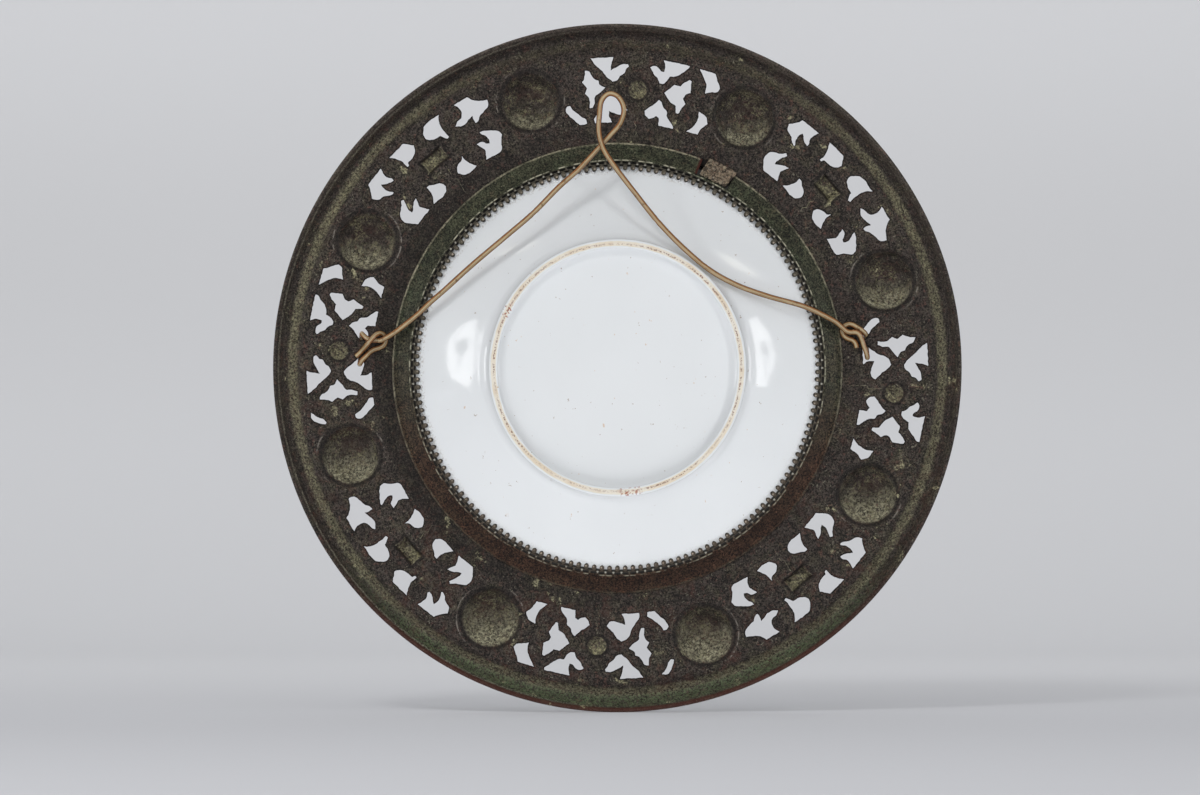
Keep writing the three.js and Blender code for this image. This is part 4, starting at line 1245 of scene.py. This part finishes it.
def casting_material(patina):
    """The cast rim: dark brown patina with an olive cast, redder toward the bottom, painted shade on the
    band's inner left, a worn stripe in the cove, green in the lower groove, a scraped edge by the lip, dust
    and painted light in the lower halves of the bosses, a painted shade line in their creases and scuffs with
    painted sheen on their sides, crusts in the studs and tablets painted lighter on their lower sides, rust
    and shade at the holes, and a painted shadow in the gap beside the splice."""
    material, tree = new_material("aged_casting")
    places = tree.object_places()
    x, _, z = tree.split(places)[0:3]
    skin = tree.use(patina, {
        "Places": places, "Dark": tone(51, 45, 41), "Middle": tone(68, 61, 56), "Tint": tone(85, 82, 64),
        "Speck": tone(142, 137, 120), "Tinted": 0.35, "Rusty": 0.3,
    })
    colour = skin["Color"]
    lower = tree.step(z, 0.05, -0.13)
    bottom = tree.step(z, -0.075, -0.128)
    left = tree.step(x, 0.02, -0.09)
    grain = tree.step(tree.noise(places, 0.9, detail=3.0, roughness=0.85), 0.40, 0.62)
    coarse = tree.step(tree.noise(places, 2.0, detail=4.0, roughness=0.8), 0.38, 0.62)
    mottle = tree.times(grain, tree.math("ADD", tree.times(coarse, 0.5), 0.6))
    red = tree.step(tree.noise(places, 10.0, detail=6.0, roughness=0.75, warp=0.5), 0.50, 0.66)
    red = tree.times(red, tree.between(lower, 0.20, 0.50))
    red = tree.times(red, tree.between(grain, 0.4, 1.0))
    colour = tree.mix(red, colour, tone(92, 56, 46))
    # Painted shade on the band's inner left, beside the collar.
    inner_left_shade = tree.ring(places, 101.5, 2.5, 5.0, 2.5)
    inner_left_shading = tree.times(inner_left_shade, tree.between(left, 0.1, 0.5))
    colour = tree.mix(inner_left_shading, colour, tone(24, 21, 18))

    wall = tree.ring(places, 146.0, 1.7, 0.9, 0.8)
    colour = tree.mix(tree.times(wall, 0.15), colour, tone(38, 30, 27))
    upper = tree.step(z, 0.02, 0.12)
    rolled = tree.ring(places, 149.2, 1.6, 0.8, 0.8)
    rolled = tree.times(rolled, upper, mottle)
    colour = tree.mix(tree.times(rolled, 0.6), colour, tone(126, 114, 104))
    stripe = tree.ring(places, 141.6, 1.0, 1.9, 2.2)
    sides = tree.step(tree.math("ABSOLUTE", x), 0.04, 0.13, 0.15, 1.0)
    sides = tree.math("MAXIMUM", sides, tree.times(bottom, 0.8))
    worn = tree.times(stripe, sides, mottle)
    colour = tree.mix(tree.times(worn, 0.8), colour, tone(176, 171, 138))
    groove = tree.ring(places, 145.2, 2.0, 1.0, 1.5)
    green = tree.times(groove, bottom, mottle)
    colour = tree.mix(tree.times(green, 0.85), colour, tone(112, 128, 94))
    lip = tree.ring(places, 149.3, 1.0, 0.5, 0.4)
    colour = tree.mix(tree.times(lip, bottom, 0.6), colour, tone(92, 50, 40))
    edge = tree.ring(places, 147.7, 0.1, 0.4, 0.35)
    scraped = tree.times(edge, tree.times(grain, tree.between(left, 0.12, 0.8)))
    colour = tree.mix(scraped, colour, tone(164, 158, 140))

    boss_x, boss_z, _ = tree.split(tree.attribute("boss_place")["Vector"])[0:3]
    boss = length_of(tree, boss_x, boss_z)
    # Pale dust in the boss hollows, partly dust and partly painted light: it fills the lower half of each
    # hollow, which faces the light, and more of the lower bosses.
    drift = tree.noise(places, 6.0, detail=4.0, roughness=0.6)
    dust_and_light_line = tree.math("ADD", boss_z, tree.times(tree.math("SUBTRACT", drift, 0.5), 26.0))
    dust_and_light_line = tree.math("ADD", dust_and_light_line, tree.times(z, 42.0))
    dust_and_light = tree.times(tree.step(dust_and_light_line, 5.0, -8.0), tree.step(boss, 12.9, 11.4))
    speckled = tree.step(tree.noise(places, 1.2, detail=4.0, roughness=0.9), 0.42, 0.58)
    speckled = tree.times(speckled, tree.between(coarse, 0.4, 1.0))
    dust_and_light = tree.times(dust_and_light, tree.times(speckled, tree.between(lower, 0.85, 1.0)))
    low_rim = tree.step(boss_z, 0.0, -9.0, 0.55, 1.0)
    colour = tree.mix(tree.times(dust_and_light, low_rim), colour, tone(222, 217, 184))
    ember = tree.times(tree.step(boss, 10.5, 5.0), tree.step(boss_z, -3.0, 5.0))
    ember = tree.times(ember, tree.between(coarse, 0.2, 0.6))
    colour = tree.mix(ember, colour, tone(66, 45, 41))
    crumbs = tree.times(tree.step(boss, 12.4, 11.0), tree.step(grain, 0.5, 0.9))
    crumbs = tree.times(crumbs, tree.step(tree.noise(places, 5.0, detail=3.0), 0.45, 0.60, 0.05, 0.7))
    colour = tree.mix(crumbs, colour, tone(150, 145, 112))
    # Painted shade: a dark line in the crease at each boss's mouth.
    crease = tree.step(tree.math("ABSOLUTE", tree.math("SUBTRACT", boss, 13.3)), 1.2, 0.3)
    colour = tree.mix(tree.times(crease, 0.6), colour, tone(24, 20, 18))
    # Pale scuffs round each boss's crease, only on its left and right sides: partly wear and partly painted
    # sheen where the side lights fall.
    scuff_and_sheen = tree.step(tree.math("ABSOLUTE", tree.math("SUBTRACT", boss, 14.9)), 0.45, 0.1)
    broken = tree.step(tree.noise(places, 1.5, detail=2.0), 0.42, 0.54)
    partial = tree.step(tree.noise(places, 16.0, detail=2.0), 0.46, 0.56)
    sideways = tree.step(tree.math("ABSOLUTE", boss_x), 7.0, 13.0)
    scuff_and_sheen = tree.times(scuff_and_sheen, sideways, tree.times(broken, partial))
    colour = tree.mix(tree.times(scuff_and_sheen, 0.7), colour, tone(160, 152, 142))

    _, stud_z, stud_inside = tree.split(tree.attribute("stud_place")["Vector"])[0:3]
    rim_shade = tree.step(tree.math("ABSOLUTE", tree.math("ADD", stud_inside, 0.3)), 0.9, 0.2)
    colour = tree.mix(tree.times(rim_shade, 0.6), colour, tone(24, 20, 18))
    # Pale crust in the studs and tablets, partly real crust and partly painted light: it is heavier on their
    # lower sides, which face the light, and thinner on their upper sides, which lie in shade.
    crusted = tree.times(tree.step(stud_inside, 0.15, 0.75), tree.between(speckled, 0.12, 1.0))
    low_side = tree.math("SUBTRACT", stud_z, tree.times(coarse, 2.0))
    crusted = tree.times(crusted, tree.step(low_side, 3.0, -3.0, 0.55, 1.0))
    eaten = tree.math("ADD", tree.noise(places, 1.1, detail=2.0), tree.times(stud_z, 0.012))
    crusted = tree.times(crusted, tree.step(eaten, 0.60, 0.50, 0.1, 1.0))
    patches = tree.step(tree.noise(places, 9.0, detail=4.0, roughness=0.6), 0.655, 0.69)
    patches = tree.times(patches, mottle)
    colour = tree.mix(tree.math("MAXIMUM", crusted, patches), colour, tone(196, 190, 152))

    gap = tree.attribute("hole_gap")["Fac"]
    rust = tree.times(tree.step(gap, 1.3, 0.3), tree.step(tree.noise(places, 5.0), 0.46, 0.6))
    colour = tree.mix(tree.times(rust, tree.between(lower, 0.15, 0.5)), colour, tone(98, 58, 48))
    colour = tree.mix(tree.step(gap, 0.75, 0.2, 0.0, 0.85), colour, tone(14, 12, 10))

    # Painted shadow in the gap between the strip's end and the splice.
    turn = tree.times(tree.math("ARCTAN2", x, z), 180 / math.pi)
    gap_shadow = tree.times(tree.step(turn, 22.0, 22.3), tree.step(turn, 23.7, 23.4))
    gap_shadow = tree.times(gap_shadow, tree.step(length_of(tree, x, z), 0.0992, 0.0984))
    colour = tree.mix(tree.times(gap_shadow, 0.9), colour, tone(16, 11, 9))

    crust_dust_and_light = tree.math("MAXIMUM", dust_and_light, crusted)
    roughness = tree.between(crust_dust_and_light, 0.45, 0.9)
    height = tree.math("ADD", skin["Height"], tree.times(crust_dust_and_light, 0.5))
    finish_material(tree, colour, roughness, height, 0.8, 0.40, Metallic=0.1, Specular_IOR_Level=0.3)
    return material


def strip_material(patina):
    """The toothed strip: dark green tarnish at the top that turns red-brown at the bottom, worn pale on its
    ridge and along its beaded foot, with painted highlight there that is stronger toward the top. By the
    angle to each tooth come painted shade in the slots and round each tooth, a glint on the tooth and painted
    highlights between teeth. The end at the splice is singed."""
    material, tree = new_material("aged_strip")
    places = tree.object_places()
    x, _, z = tree.split(places)[0:3]
    skin = tree.use(patina, {
        "Places": places, "Dark": tone(46, 47, 36), "Middle": tone(67, 68, 52), "Tint": tone(68, 77, 58),
        "Speck": tone(130, 128, 104), "Tinted": 0.4, "Rusty": 0.1,
    })
    wander = tree.times(tree.math("SUBTRACT", tree.noise(places, 18.0), 0.5), 0.06)
    lower = tree.step(tree.math("ADD", z, wander), 0.03, -0.06)
    brown = tree.mix(1.0, skin["Color"], tone(255, 178, 178), "MULTIPLY")
    colour = tree.mix(tree.times(lower, 0.9), skin["Color"], brown)
    # A pale line along the beaded foot, partly wear and partly painted highlight where the edge catches the
    # light, stronger toward the top.
    foot = tree.ring(places, 97.9, 0.15, 0.5, 0.7)
    high = tree.step(z, -0.09, 0.09)
    rubbed = tree.step(tree.noise(places, 1.1, detail=4.0, roughness=0.8), 0.38, 0.58, 0.1, 1.0)
    rubbed = tree.times(rubbed, tree.step(tree.noise(places, 9.0, detail=3.0), 0.36, 0.60, 0.3, 1.0))
    rubbed = tree.times(foot, rubbed, tree.between(high, 0.2, 1.0))
    colour = tree.mix(rubbed, colour, tone(186, 178, 152))

    radius = tree.times(length_of(tree, x, z), 1 / MM)
    turns = tree.times(tree.math("ARCTAN2", x, z), TOOTH_COUNT / math.tau)
    phase = tree.math("SUBTRACT", tree.math("FRACT", tree.math("ADD", turns, TOOTH_COUNT + 0.5)), 0.5)
    tooth_width = math.tau * TOOTH_TIP / TOOTH_COUNT
    aside = tree.times(phase, tooth_width)
    patchy = tree.step(tree.noise(places, 4.0, detail=2.0), 0.42, 0.58)
    # A pale dashed line on the ridge, partly wear and partly painted highlight, stronger toward the top.
    ridge = tree.ring(places, 90.5, 0.1, 0.28, 0.2)
    dashes = tree.step(tree.math("ABSOLUTE", phase), 0.42, 0.34)
    ridge = tree.times(ridge, patchy, tree.between(dashes, 0.25, 1.0))
    colour = tree.mix(tree.times(ridge, tree.between(high, 0.5, 1.0)), colour, tone(200, 196, 172))
    inner = tree.step(radius, 90.1, 89.9)
    colour = tree.mix(tree.times(inner, 0.65), colour, tone(108, 100, 88))
    # Painted shade: near black in the slots and on the metal just outside them.
    slot = tree.times(tree.step(tree.math("ABSOLUTE", phase), 0.42, 0.34), tree.step(radius, 88.9, 89.2))
    slot = tree.times(slot, inner)
    colour = tree.mix(tree.times(slot, 0.9), colour, tone(10, 8, 7))
    # Painted shade: a dark outline round each tooth.
    centre = length_of(tree, aside, tree.math("SUBTRACT", radius, 87.5))
    outline = tree.times(tree.step(centre, 0.9, 1.25), tree.step(radius, 88.9, 88.6))
    colour = tree.mix(tree.times(outline, 0.9), colour, tone(14, 11, 9))
    glint = length_of(tree, tree.math("SUBTRACT", aside, 0.25), tree.math("SUBTRACT", radius, 87.2))
    glint = tree.times(tree.step(glint, 0.55, 0.2), tree.between(patchy, 0.2, 0.9))
    colour = tree.mix(glint, colour, tone(206, 190, 172))
    # Painted highlights: pale dashes between the teeth, at the row of the slots.
    between_teeth = tree.math("SUBTRACT", tree.math("ABSOLUTE", aside), tooth_width / 2)
    tooth_gap_highlight = length_of(tree, between_teeth, tree.math("SUBTRACT", radius, 89.1))
    flicker = tree.step(tree.noise(places, 2.6, detail=1.0), 0.44, 0.54)
    tooth_gap_highlight = tree.times(tree.step(tooth_gap_highlight, 0.55, 0.3), flicker)
    colour = tree.mix(tree.times(tooth_gap_highlight, 0.85), colour, tone(196, 194, 182))
    near_splice = tree.times(tree.math("ARCTAN2", x, z), 180 / math.pi)
    singed = tree.times(tree.step(near_splice, 21.3, 21.9), tree.step(near_splice, 23.0, 22.6))
    colour = tree.mix(tree.times(singed, tree.step(radius, 91.0, 91.4)), colour, tone(72, 36, 28))
    finish_material(tree, colour, 0.45, skin["Height"], 0.7, 0.30, Metallic=0.1, Specular_IOR_Level=0.3)
    return material


def splice_material(patina):
    """The splice: a rough block crusted with pale tarnish over brown, dark in its pits and cracks."""
    material, tree = new_material("soldered_splice")
    places = tree.object_places()
    skin = tree.use(patina, {
        "Places": places, "Dark": tone(98, 84, 70), "Middle": tone(132, 117, 98), "Tint": tone(142, 132, 104),
        "Speck": tone(206, 196, 176), "Tinted": 0.4, "Rusty": 0.2,
    })
    pale = tree.spots(places, 1.8, 0.52, 0.12)
    colour = tree.mix(tree.times(pale, 0.5), skin["Color"], tone(186, 174, 152))
    deep = tree.step(tree.noise(places, 2.2, detail=4.0), 0.47, 0.37)
    colour = tree.mix(tree.times(deep, 0.75), colour, tone(40, 30, 26))
    finish_material(tree, colour, 0.75, skin["Height"], 0.8, 0.35, Metallic=0.1)
    return material


def glaze_material():
    """White glaze with a few kiln specks, grime by the teeth and painted shade under the strip. The foot
    ring's ground is bare and cream, with a thin tan line of grit, and two rusty stains."""
    material, tree = new_material("porcelain")
    places = tree.object_places()
    x, y, z = tree.split(places)[0:3]
    clouds = tree.step(tree.noise(places, 60.0, detail=2.0), 0.3, 0.7)
    colour = tree.mix(clouds, tone(229, 232, 234), tone(232, 235, 237))
    specks = tree.spots(places, 2.1, 0.715, 0.02)
    colour = tree.mix(tree.times(specks, 0.7), colour, tone(150, 128, 104))
    warm = tree.spots(places, 3.6, 0.725, 0.03)
    colour = tree.mix(tree.times(warm, 0.6), colour, tone(206, 168, 122))
    grime_ring = tree.ring(places, 87.0, 1.2, 2.2, 1.5)
    grime = tree.spots(places, 0.9, 0.50, 0.14)
    upper_left = tree.step(tree.math("SUBTRACT", z, x), -0.02, 0.09, 0.25, 0.9)
    grime = tree.times(grime, grime_ring, upper_left)
    colour = tree.mix(tree.times(grime, 0.6), colour, tone(150, 134, 114))
    # Painted shade: near black on the glaze under the strip, seen between the teeth and through the slots.
    shade_under_strip = tree.ring(places, 92.0, 4.0, 0.4, 0.5)
    colour = tree.mix(tree.times(shade_under_strip, 0.93), colour, tone(34, 29, 22))
    ground = tree.step(y, -0.0130, -0.01325)
    line = tree.ring(places, 53.9, 0.8, 0.5, 0.4)
    bare = tree.times(line, ground)
    clay_clouds = tree.step(tree.noise(places, 9.0, detail=3.0), 0.35, 0.65)
    clay = tree.mix(clay_clouds, tone(232, 227, 214), tone(224, 211, 189))
    grit = tree.ring(places, 53.7, 0.22, 0.35, 0.7)
    grains = tree.step(tree.noise(places, 0.9, detail=3.0, roughness=0.7), 0.47, 0.56)
    share = tree.step(tree.noise(places, 22.0, detail=2.0), 0.35, 0.65, 0.35, 1.0)
    grit = tree.times(grit, grains, share)
    clay = tree.mix(tree.times(grit, 0.9), clay, tone(128, 80, 58))
    colour = tree.mix(bare, colour, clay)
    for stain_x, stain_z, reach in ((0.0055, -0.0530, 0.007), (-0.0475, 0.0245, 0.005)):
        away = tree.add("VectorMath", {0: places, 1: (stain_x, -0.0133, stain_z)}, operation="DISTANCE")
        near = tree.step(away.outputs["Value"], reach, reach * 0.3)
        blots = tree.spots(places, 1.0, 0.54, 0.05)
        stain = tree.times(near, blots, ground)
        colour = tree.mix(tree.times(stain, 0.85), colour, tone(158, 82, 46))
    roughness = tree.between(bare, 0.03, 0.8)
    finish_material(tree, colour, roughness, grains, 0.02, 0.02)
    return material


def wire_material():
    """Tan lacquered wire with a painted highlight: pale along the middle of the side that faces back, turning
    through painted shade to brown along its edges and near black along its upper edge, with a dark seam and
    rubbed spots. The attribute "facing" holds how far each point faces back and sideways."""
    material, tree = new_material("tan_wire")
    places = tree.object_places()
    _, side, travelled = tree.split(tree.attribute("facing")["Vector"])[0:3]
    along = tree.add("CombineXYZ", {0: travelled, 1: side, 2: 0.0}).outputs[0]
    streaks = tree.add("TexNoise", {"Vector": along, "Scale": 1.0, "Detail": 4.0, "Roughness": 0.6})
    streaks = tree.math("SUBTRACT", streaks.outputs[0], 0.5)
    across = tree.math("ADD", side, tree.times(streaks, 0.6))
    # Painted highlight pale along the middle of the wire, and painted shade browner toward both edges.
    colour = tree.mix(tree.step(across, 0.05, 0.5), tone(204, 182, 142), tone(158, 106, 62))
    colour = tree.mix(tree.step(across, -0.35, -0.75), colour, tone(150, 108, 64))
    seam = tree.step(tree.math("ABSOLUTE", tree.math("ADD", across, 0.30)), 0.13, 0.04)
    seam = tree.times(seam, tree.step(tree.noise(places, 14.0), 0.42, 0.55))
    colour = tree.mix(tree.times(seam, 0.65), colour, tone(96, 62, 36))
    # Painted shade: near black along the upper edge and dark brown along the lower edge.
    colour = tree.mix(tree.step(side, 0.70, 0.90, 0.0, 0.85), colour, tone(44, 30, 22))
    colour = tree.mix(tree.step(side, -0.80, -0.96, 0.0, 0.7), colour, tone(92, 58, 30))
    rubbed = tree.spots(places, 1.4, 0.60, 0.08)
    colour = tree.mix(tree.times(rubbed, 0.4), colour, tone(206, 186, 150))
    stained = tree.spots(places, 3.0, 0.60, 0.08)
    colour = tree.mix(tree.times(stained, 0.55), colour, tone(92, 56, 30))
    height = tree.noise(places, 1.2, detail=3.0)
    finish_material(tree, colour, 0.22, height, 0.35, 0.10)
    return material


def stage_material():
    """Pale matt paper with painted shade: a little darker near the camera and low on the backdrop. A camera
    behind the backdrop sees through it."""
    material, tree = new_material("pale_paper")
    y, z = tree.split(tree.object_places())[1:3]
    floor = tree.mix(tree.step(y, -0.2, 0.6), tone(*FLOOR_TONE), tone(*FAR_TONE))
    wall = tree.mix(tree.step(z, -0.05, 0.25), tone(*LOW_TONE), tone(*BACKDROP_TONE))
    colour = tree.mix(tree.step(y, 1.1, 1.58), floor, wall)
    finish_material(tree, colour, 0.95, Specular_IOR_Level=0.1)
    from_back = tree.add("NewGeometry").outputs["Backfacing"]
    camera_ray = tree.add("LightPath").outputs["Is Camera Ray"]
    behind = tree.times(from_back, camera_ray)
    nodes = material.node_tree.nodes
    seen = tree.add("MixShader", {
        0: behind, 1: nodes["Principled BSDF"].outputs[0], 2: tree.add("BsdfTransparent").outputs[0],
    })
    material.node_tree.links.new(seen.outputs[0], nodes["Material Output"].inputs["Surface"])
    return material


def glow_material(name, strength, colour):
    """A plain glow."""
    material = bpy.data.materials.new(name)
    material.use_nodes = True
    nodes = material.node_tree.nodes
    nodes.remove(nodes["Principled BSDF"])
    glow = nodes.new("ShaderNodeEmission")
    glow.inputs["Strength"].default_value = strength
    glow.inputs["Color"].default_value = (*colour, 1.0)
    material.node_tree.links.new(glow.outputs[0], nodes["Material Output"].inputs["Surface"])
    return material


# Pieces

def add_wire(name, route, body, node, material, stretch_start=0.0, stretch_end=0.0):
    """One stretch of the wire, with the side that faces back marked for its material. Returns the piece
    and its middle line in millimetres."""
    shape, facing, centres = wire_shape(route, stretch_start, stretch_end)
    piece = add_piece(name, shape, body, material, [node], sharp=80)
    kept = weld_places(shape[0])[0]
    add_attribute(piece, "facing", facing[kept])
    return piece, centres


def add_rim(material):
    """The casting, with its places on bosses and studs and its gap to the holes kept for its material."""
    outlines = [sawn_outline(corners) for corners in hole_outlines()]
    piece = add_piece("cast_rim", rim_shape(outlines), "plate", material, ["pierced_rim"])
    flat = mesh_points(piece)[:, [0, 2]]
    boss = boss_places(flat)
    add_attribute(piece, "boss_place", np.column_stack([boss, np.zeros(len(boss))]))
    crust = stud_inside(flat, CRUST_LENGTH, CRUST_HEIGHT)
    add_attribute(piece, "stud_place", np.column_stack([stud_places(flat)[:, 3:], crust]))
    add_attribute(piece, "hole_gap", hole_distance(flat, outlines)[0])


def add_camera():
    """Looks square at the plate's back, at the photograph's frame."""
    data = bpy.data.cameras.new("camera")
    data.sensor_width = SENSOR_WIDTH
    data.lens = SENSOR_WIDTH * CAMERA_DISTANCE / FRAME_WIDTH
    data.clip_end = 20
    camera = bpy.data.objects.new("camera", data)
    camera.location = (VIEW_CENTRE[0], MIDDLE * MM - CAMERA_DISTANCE, VIEW_CENTRE[1])
    camera.rotation_euler = (math.pi / 2, 0, 0)
    bpy.context.scene.collection.objects.link(camera)
    bpy.context.scene.camera = camera


def add_softbox(
    name, azimuth, elevation, distance, width, height, power, target=(0, 0, 0), only=None, spread=180,
):
    """An area light that the glaze doesn't mirror, aimed at the target. Azimuth is degrees to the right
    of the camera, and the spread is the light's cone in degrees. With "only", it lights just those
    objects, and only they can shade it."""
    data = bpy.data.lights.new(name, "AREA")
    data.shape = "RECTANGLE"
    data.size = width
    data.size_y = height
    data.energy = power
    data.spread = math.radians(spread)
    lamp = bpy.data.objects.new(name, data)
    across, up = math.radians(azimuth), math.radians(elevation)
    way = Vector((math.sin(across) * math.cos(up), -math.cos(across) * math.cos(up), math.sin(up)))
    lamp.location = Vector(target) + way * distance
    lamp.rotation_euler = (-way).to_track_quat("-Z", "Y").to_euler()
    lamp.visible_glossy = False
    bpy.context.scene.collection.objects.link(lamp)
    if only:
        chosen = bpy.data.collections.new(name + "_targets")
        for lit_piece in only:
            chosen.objects.link(lit_piece)
        lamp.light_linking.receiver_collection = chosen
        lamp.light_linking.blocker_collection = chosen


def add_plain_mesh(name, points, faces, material):
    """An object made of points in metres and faces, for the stage."""
    mesh = bpy.data.meshes.new(name)
    mesh.from_pydata(points, [], faces)
    mesh.materials.append(material)
    made = bpy.data.objects.new(name, mesh)
    bpy.context.scene.collection.objects.link(made)
    return made


def mirrored_places(spots, distance):
    """Where a card's points must be so that the camera sees them mirrored at the given places of the
    glazed wall: the line of sight turned about the wall's normal, followed for the distance."""
    start, end = np.array(porcelain_wall_ends())
    x, z = spots.T
    radius = np.hypot(x, z)
    t = (radius - start[0]) / (end[0] - start[0])
    back = start[1] + t * (end[1] - start[1]) - 2 * BACK_BOW * t * (1 - t)
    slope = (end[1] - start[1] - 2 * BACK_BOW * (1 - 2 * t)) / (end[0] - start[0])
    normal = np.stack([-slope * x / radius, -np.ones(len(x)), -slope * z / radius], axis=1)
    normal /= np.linalg.norm(normal, axis=1)[:, None]
    places = np.stack([x, MIDDLE - back, z], axis=1) * MM
    sight = places - [VIEW_CENTRE[0], MIDDLE * MM - CAMERA_DISTANCE, VIEW_CENTRE[1]]
    sight /= np.linalg.norm(sight, axis=1)[:, None]
    mirrored = sight - 2 * (sight * normal).sum(axis=1)[:, None] * normal
    return places + mirrored * distance


def add_card(name, shine, distance, material):
    """A glowing card that only mirrors see, shaped so that its reflection in the glazed wall fills the
    outline, in millimetres across and up from the plate's axis."""
    corners = np.array(shine)
    t = np.linspace(0, 1, CARD_STEPS, endpoint=False)[:, None, None]
    outline = (corners * (1 - t) + np.roll(corners, -1, axis=0) * t).transpose(1, 0, 2).reshape(-1, 2)
    points = mirrored_places(outline, distance)
    card = add_plain_mesh(name, points.tolist(), [list(range(len(points)))], material)
    hide_from_all_but_mirrors(card)


def add_panel(name, azimuth, distance, width, height, material):
    """A glowing panel that only mirrors see, upright and facing the plate, to draw thin lines of light
    along the small rounds of the foot ring."""
    turn = math.radians(azimuth)
    middle = Vector((math.sin(turn), -math.cos(turn), 0.0)) * distance
    across = Vector((math.cos(turn), math.sin(turn), 0.0)) * width / 2
    up = Vector((0, 0, height / 2))
    corners = [middle - across - up, middle + across - up, middle + across + up, middle - across + up]
    panel = add_plain_mesh(name, [list(corner) for corner in corners], [[0, 1, 2, 3]], material)
    hide_from_all_but_mirrors(panel)


def hide_from_all_but_mirrors(card):
    """Only glossy rays meet the card."""
    card.visible_camera = False
    card.visible_diffuse = False
    card.visible_shadow = False


def add_stage(material):
    """A pale floor that sweeps up into a backdrop: a floor line, a quarter circle and a wall line carried
    along X."""
    low = rim_low[2] * MM
    bend = np.radians(np.linspace(0, 90, 17))
    curve_places = SWEEP_START + SWEEP_RADIUS * np.sin(bend)
    curve_heights = low + SWEEP_RADIUS * (1 - np.cos(bend))
    section = np.concatenate([
        np.array([[place, low] for place in SWEEP_FLAT]),
        np.stack([curve_places, curve_heights], axis=1),
        np.array([[SWEEP_START + SWEEP_RADIUS, SWEEP_TOP]]),
    ])
    across = np.linspace(-SWEEP_HALF_WIDTH, SWEEP_HALF_WIDTH, 9)
    points = np.zeros((len(section), len(across), 3))
    points[..., 0] = across
    points[..., 1] = section[:, :1]
    points[..., 2] = section[:, 1:]
    faces = grid_faces(len(section), len(across))
    sweep = add_plain_mesh("paper_sweep", points.reshape(-1, 3).tolist(), faces.tolist(), material)
    sweep.data.polygons.foreach_set("use_smooth", np.ones(len(faces), bool))
    return sweep


def light_the_world(strength):
    world = bpy.data.worlds.new("soft_room")
    world.use_nodes = True
    world.node_tree.nodes["Background"].inputs["Color"].default_value = (1, 1, 1, 1)
    world.node_tree.nodes["Background"].inputs["Strength"].default_value = strength
    bpy.context.scene.world = world


bpy.context.scene.view_settings.view_transform = "Standard"

add_camera()

spots_group()
ring_group()
patina = patina_group()
lacquer = wire_material()

hanger, hanger_path = add_wire("hanger", FREE_ROUTE, "hanger", "hanging_wire", lacquer, 0.12, 0.12)
add_wire("left_knot", LEFT_TIE_ROUTE, "plate", "left_wire_tie", lacquer, 0.12)
add_wire("right_knot", RIGHT_TIE_ROUTE, "plate", "right_wire_tie", lacquer, 0.12)

dish = add_piece(
    "glazed_plate", porcelain_shape(), "plate", glaze_material(),
    ["porcelain_plate"], sharp=60,
)
add_rim(casting_material(patina))
add_piece(
    "toothed_strip", strip_shape(), "plate", strip_material(patina),
    ["gallery_strip"],
)
add_piece(
    "splice_block", splice_shape(), "plate", splice_material(patina),
    ["strip_splice"], sharp=60,
)

sweep = add_stage(stage_material())
add_softbox("key", azimuth=-26.6, elevation=40.8, distance=1.7, width=0.34, height=0.34, power=6.3)
for name, azimuth in (("left_box", -46), ("right_box", 46)):
    add_softbox(name, azimuth, elevation=4, distance=1.6, width=0.10, height=0.40, power=1.9)
add_softbox(
    "under_box", azimuth=5, elevation=-60, distance=1.3, width=1.0, height=0.8, power=7.4, only=[dish],
)
add_softbox(
    "backdrop_box", azimuth=0, elevation=28, distance=3.6, width=2.0, height=1.2, power=19.0,
    target=(0, 1.2, 0.0), only=[sweep], spread=110,
)
bright = glow_material("bright_card", 6.0, (1.0, 1.0, 1.0))
dull = glow_material("dull_card", 0.2, (1.0, 1.0, 1.0))
cream = glow_material("cream_card", 4.5, (1.0, 0.97, 0.86))
for name, azimuth in (("left_panel", -70), ("right_panel", 70)):
    add_panel(name, azimuth, distance=1.6, width=0.45, height=0.5, material=bright)
for name, shine, distance, glow in (
    ("left_card", SHINE_LEFT, CARD_DISTANCE, bright),
    ("left_edge_card", SHINE_LEFT_EDGE, CARD_DISTANCE, bright),
    ("right_card", SHINE_RIGHT, CARD_DISTANCE, bright),
    ("left_blot", BLOT_LEFT, BLOT_DISTANCE, dull),
    ("right_blot", BLOT_RIGHT, BLOT_DISTANCE, dull),
    ("left_wing", WING_LEFT, CARD_DISTANCE, cream),
    ("right_wing", WING_RIGHT, CARD_DISTANCE, cream),
):
    add_card(name, shine, distance, glow)
light_the_world(0.42)
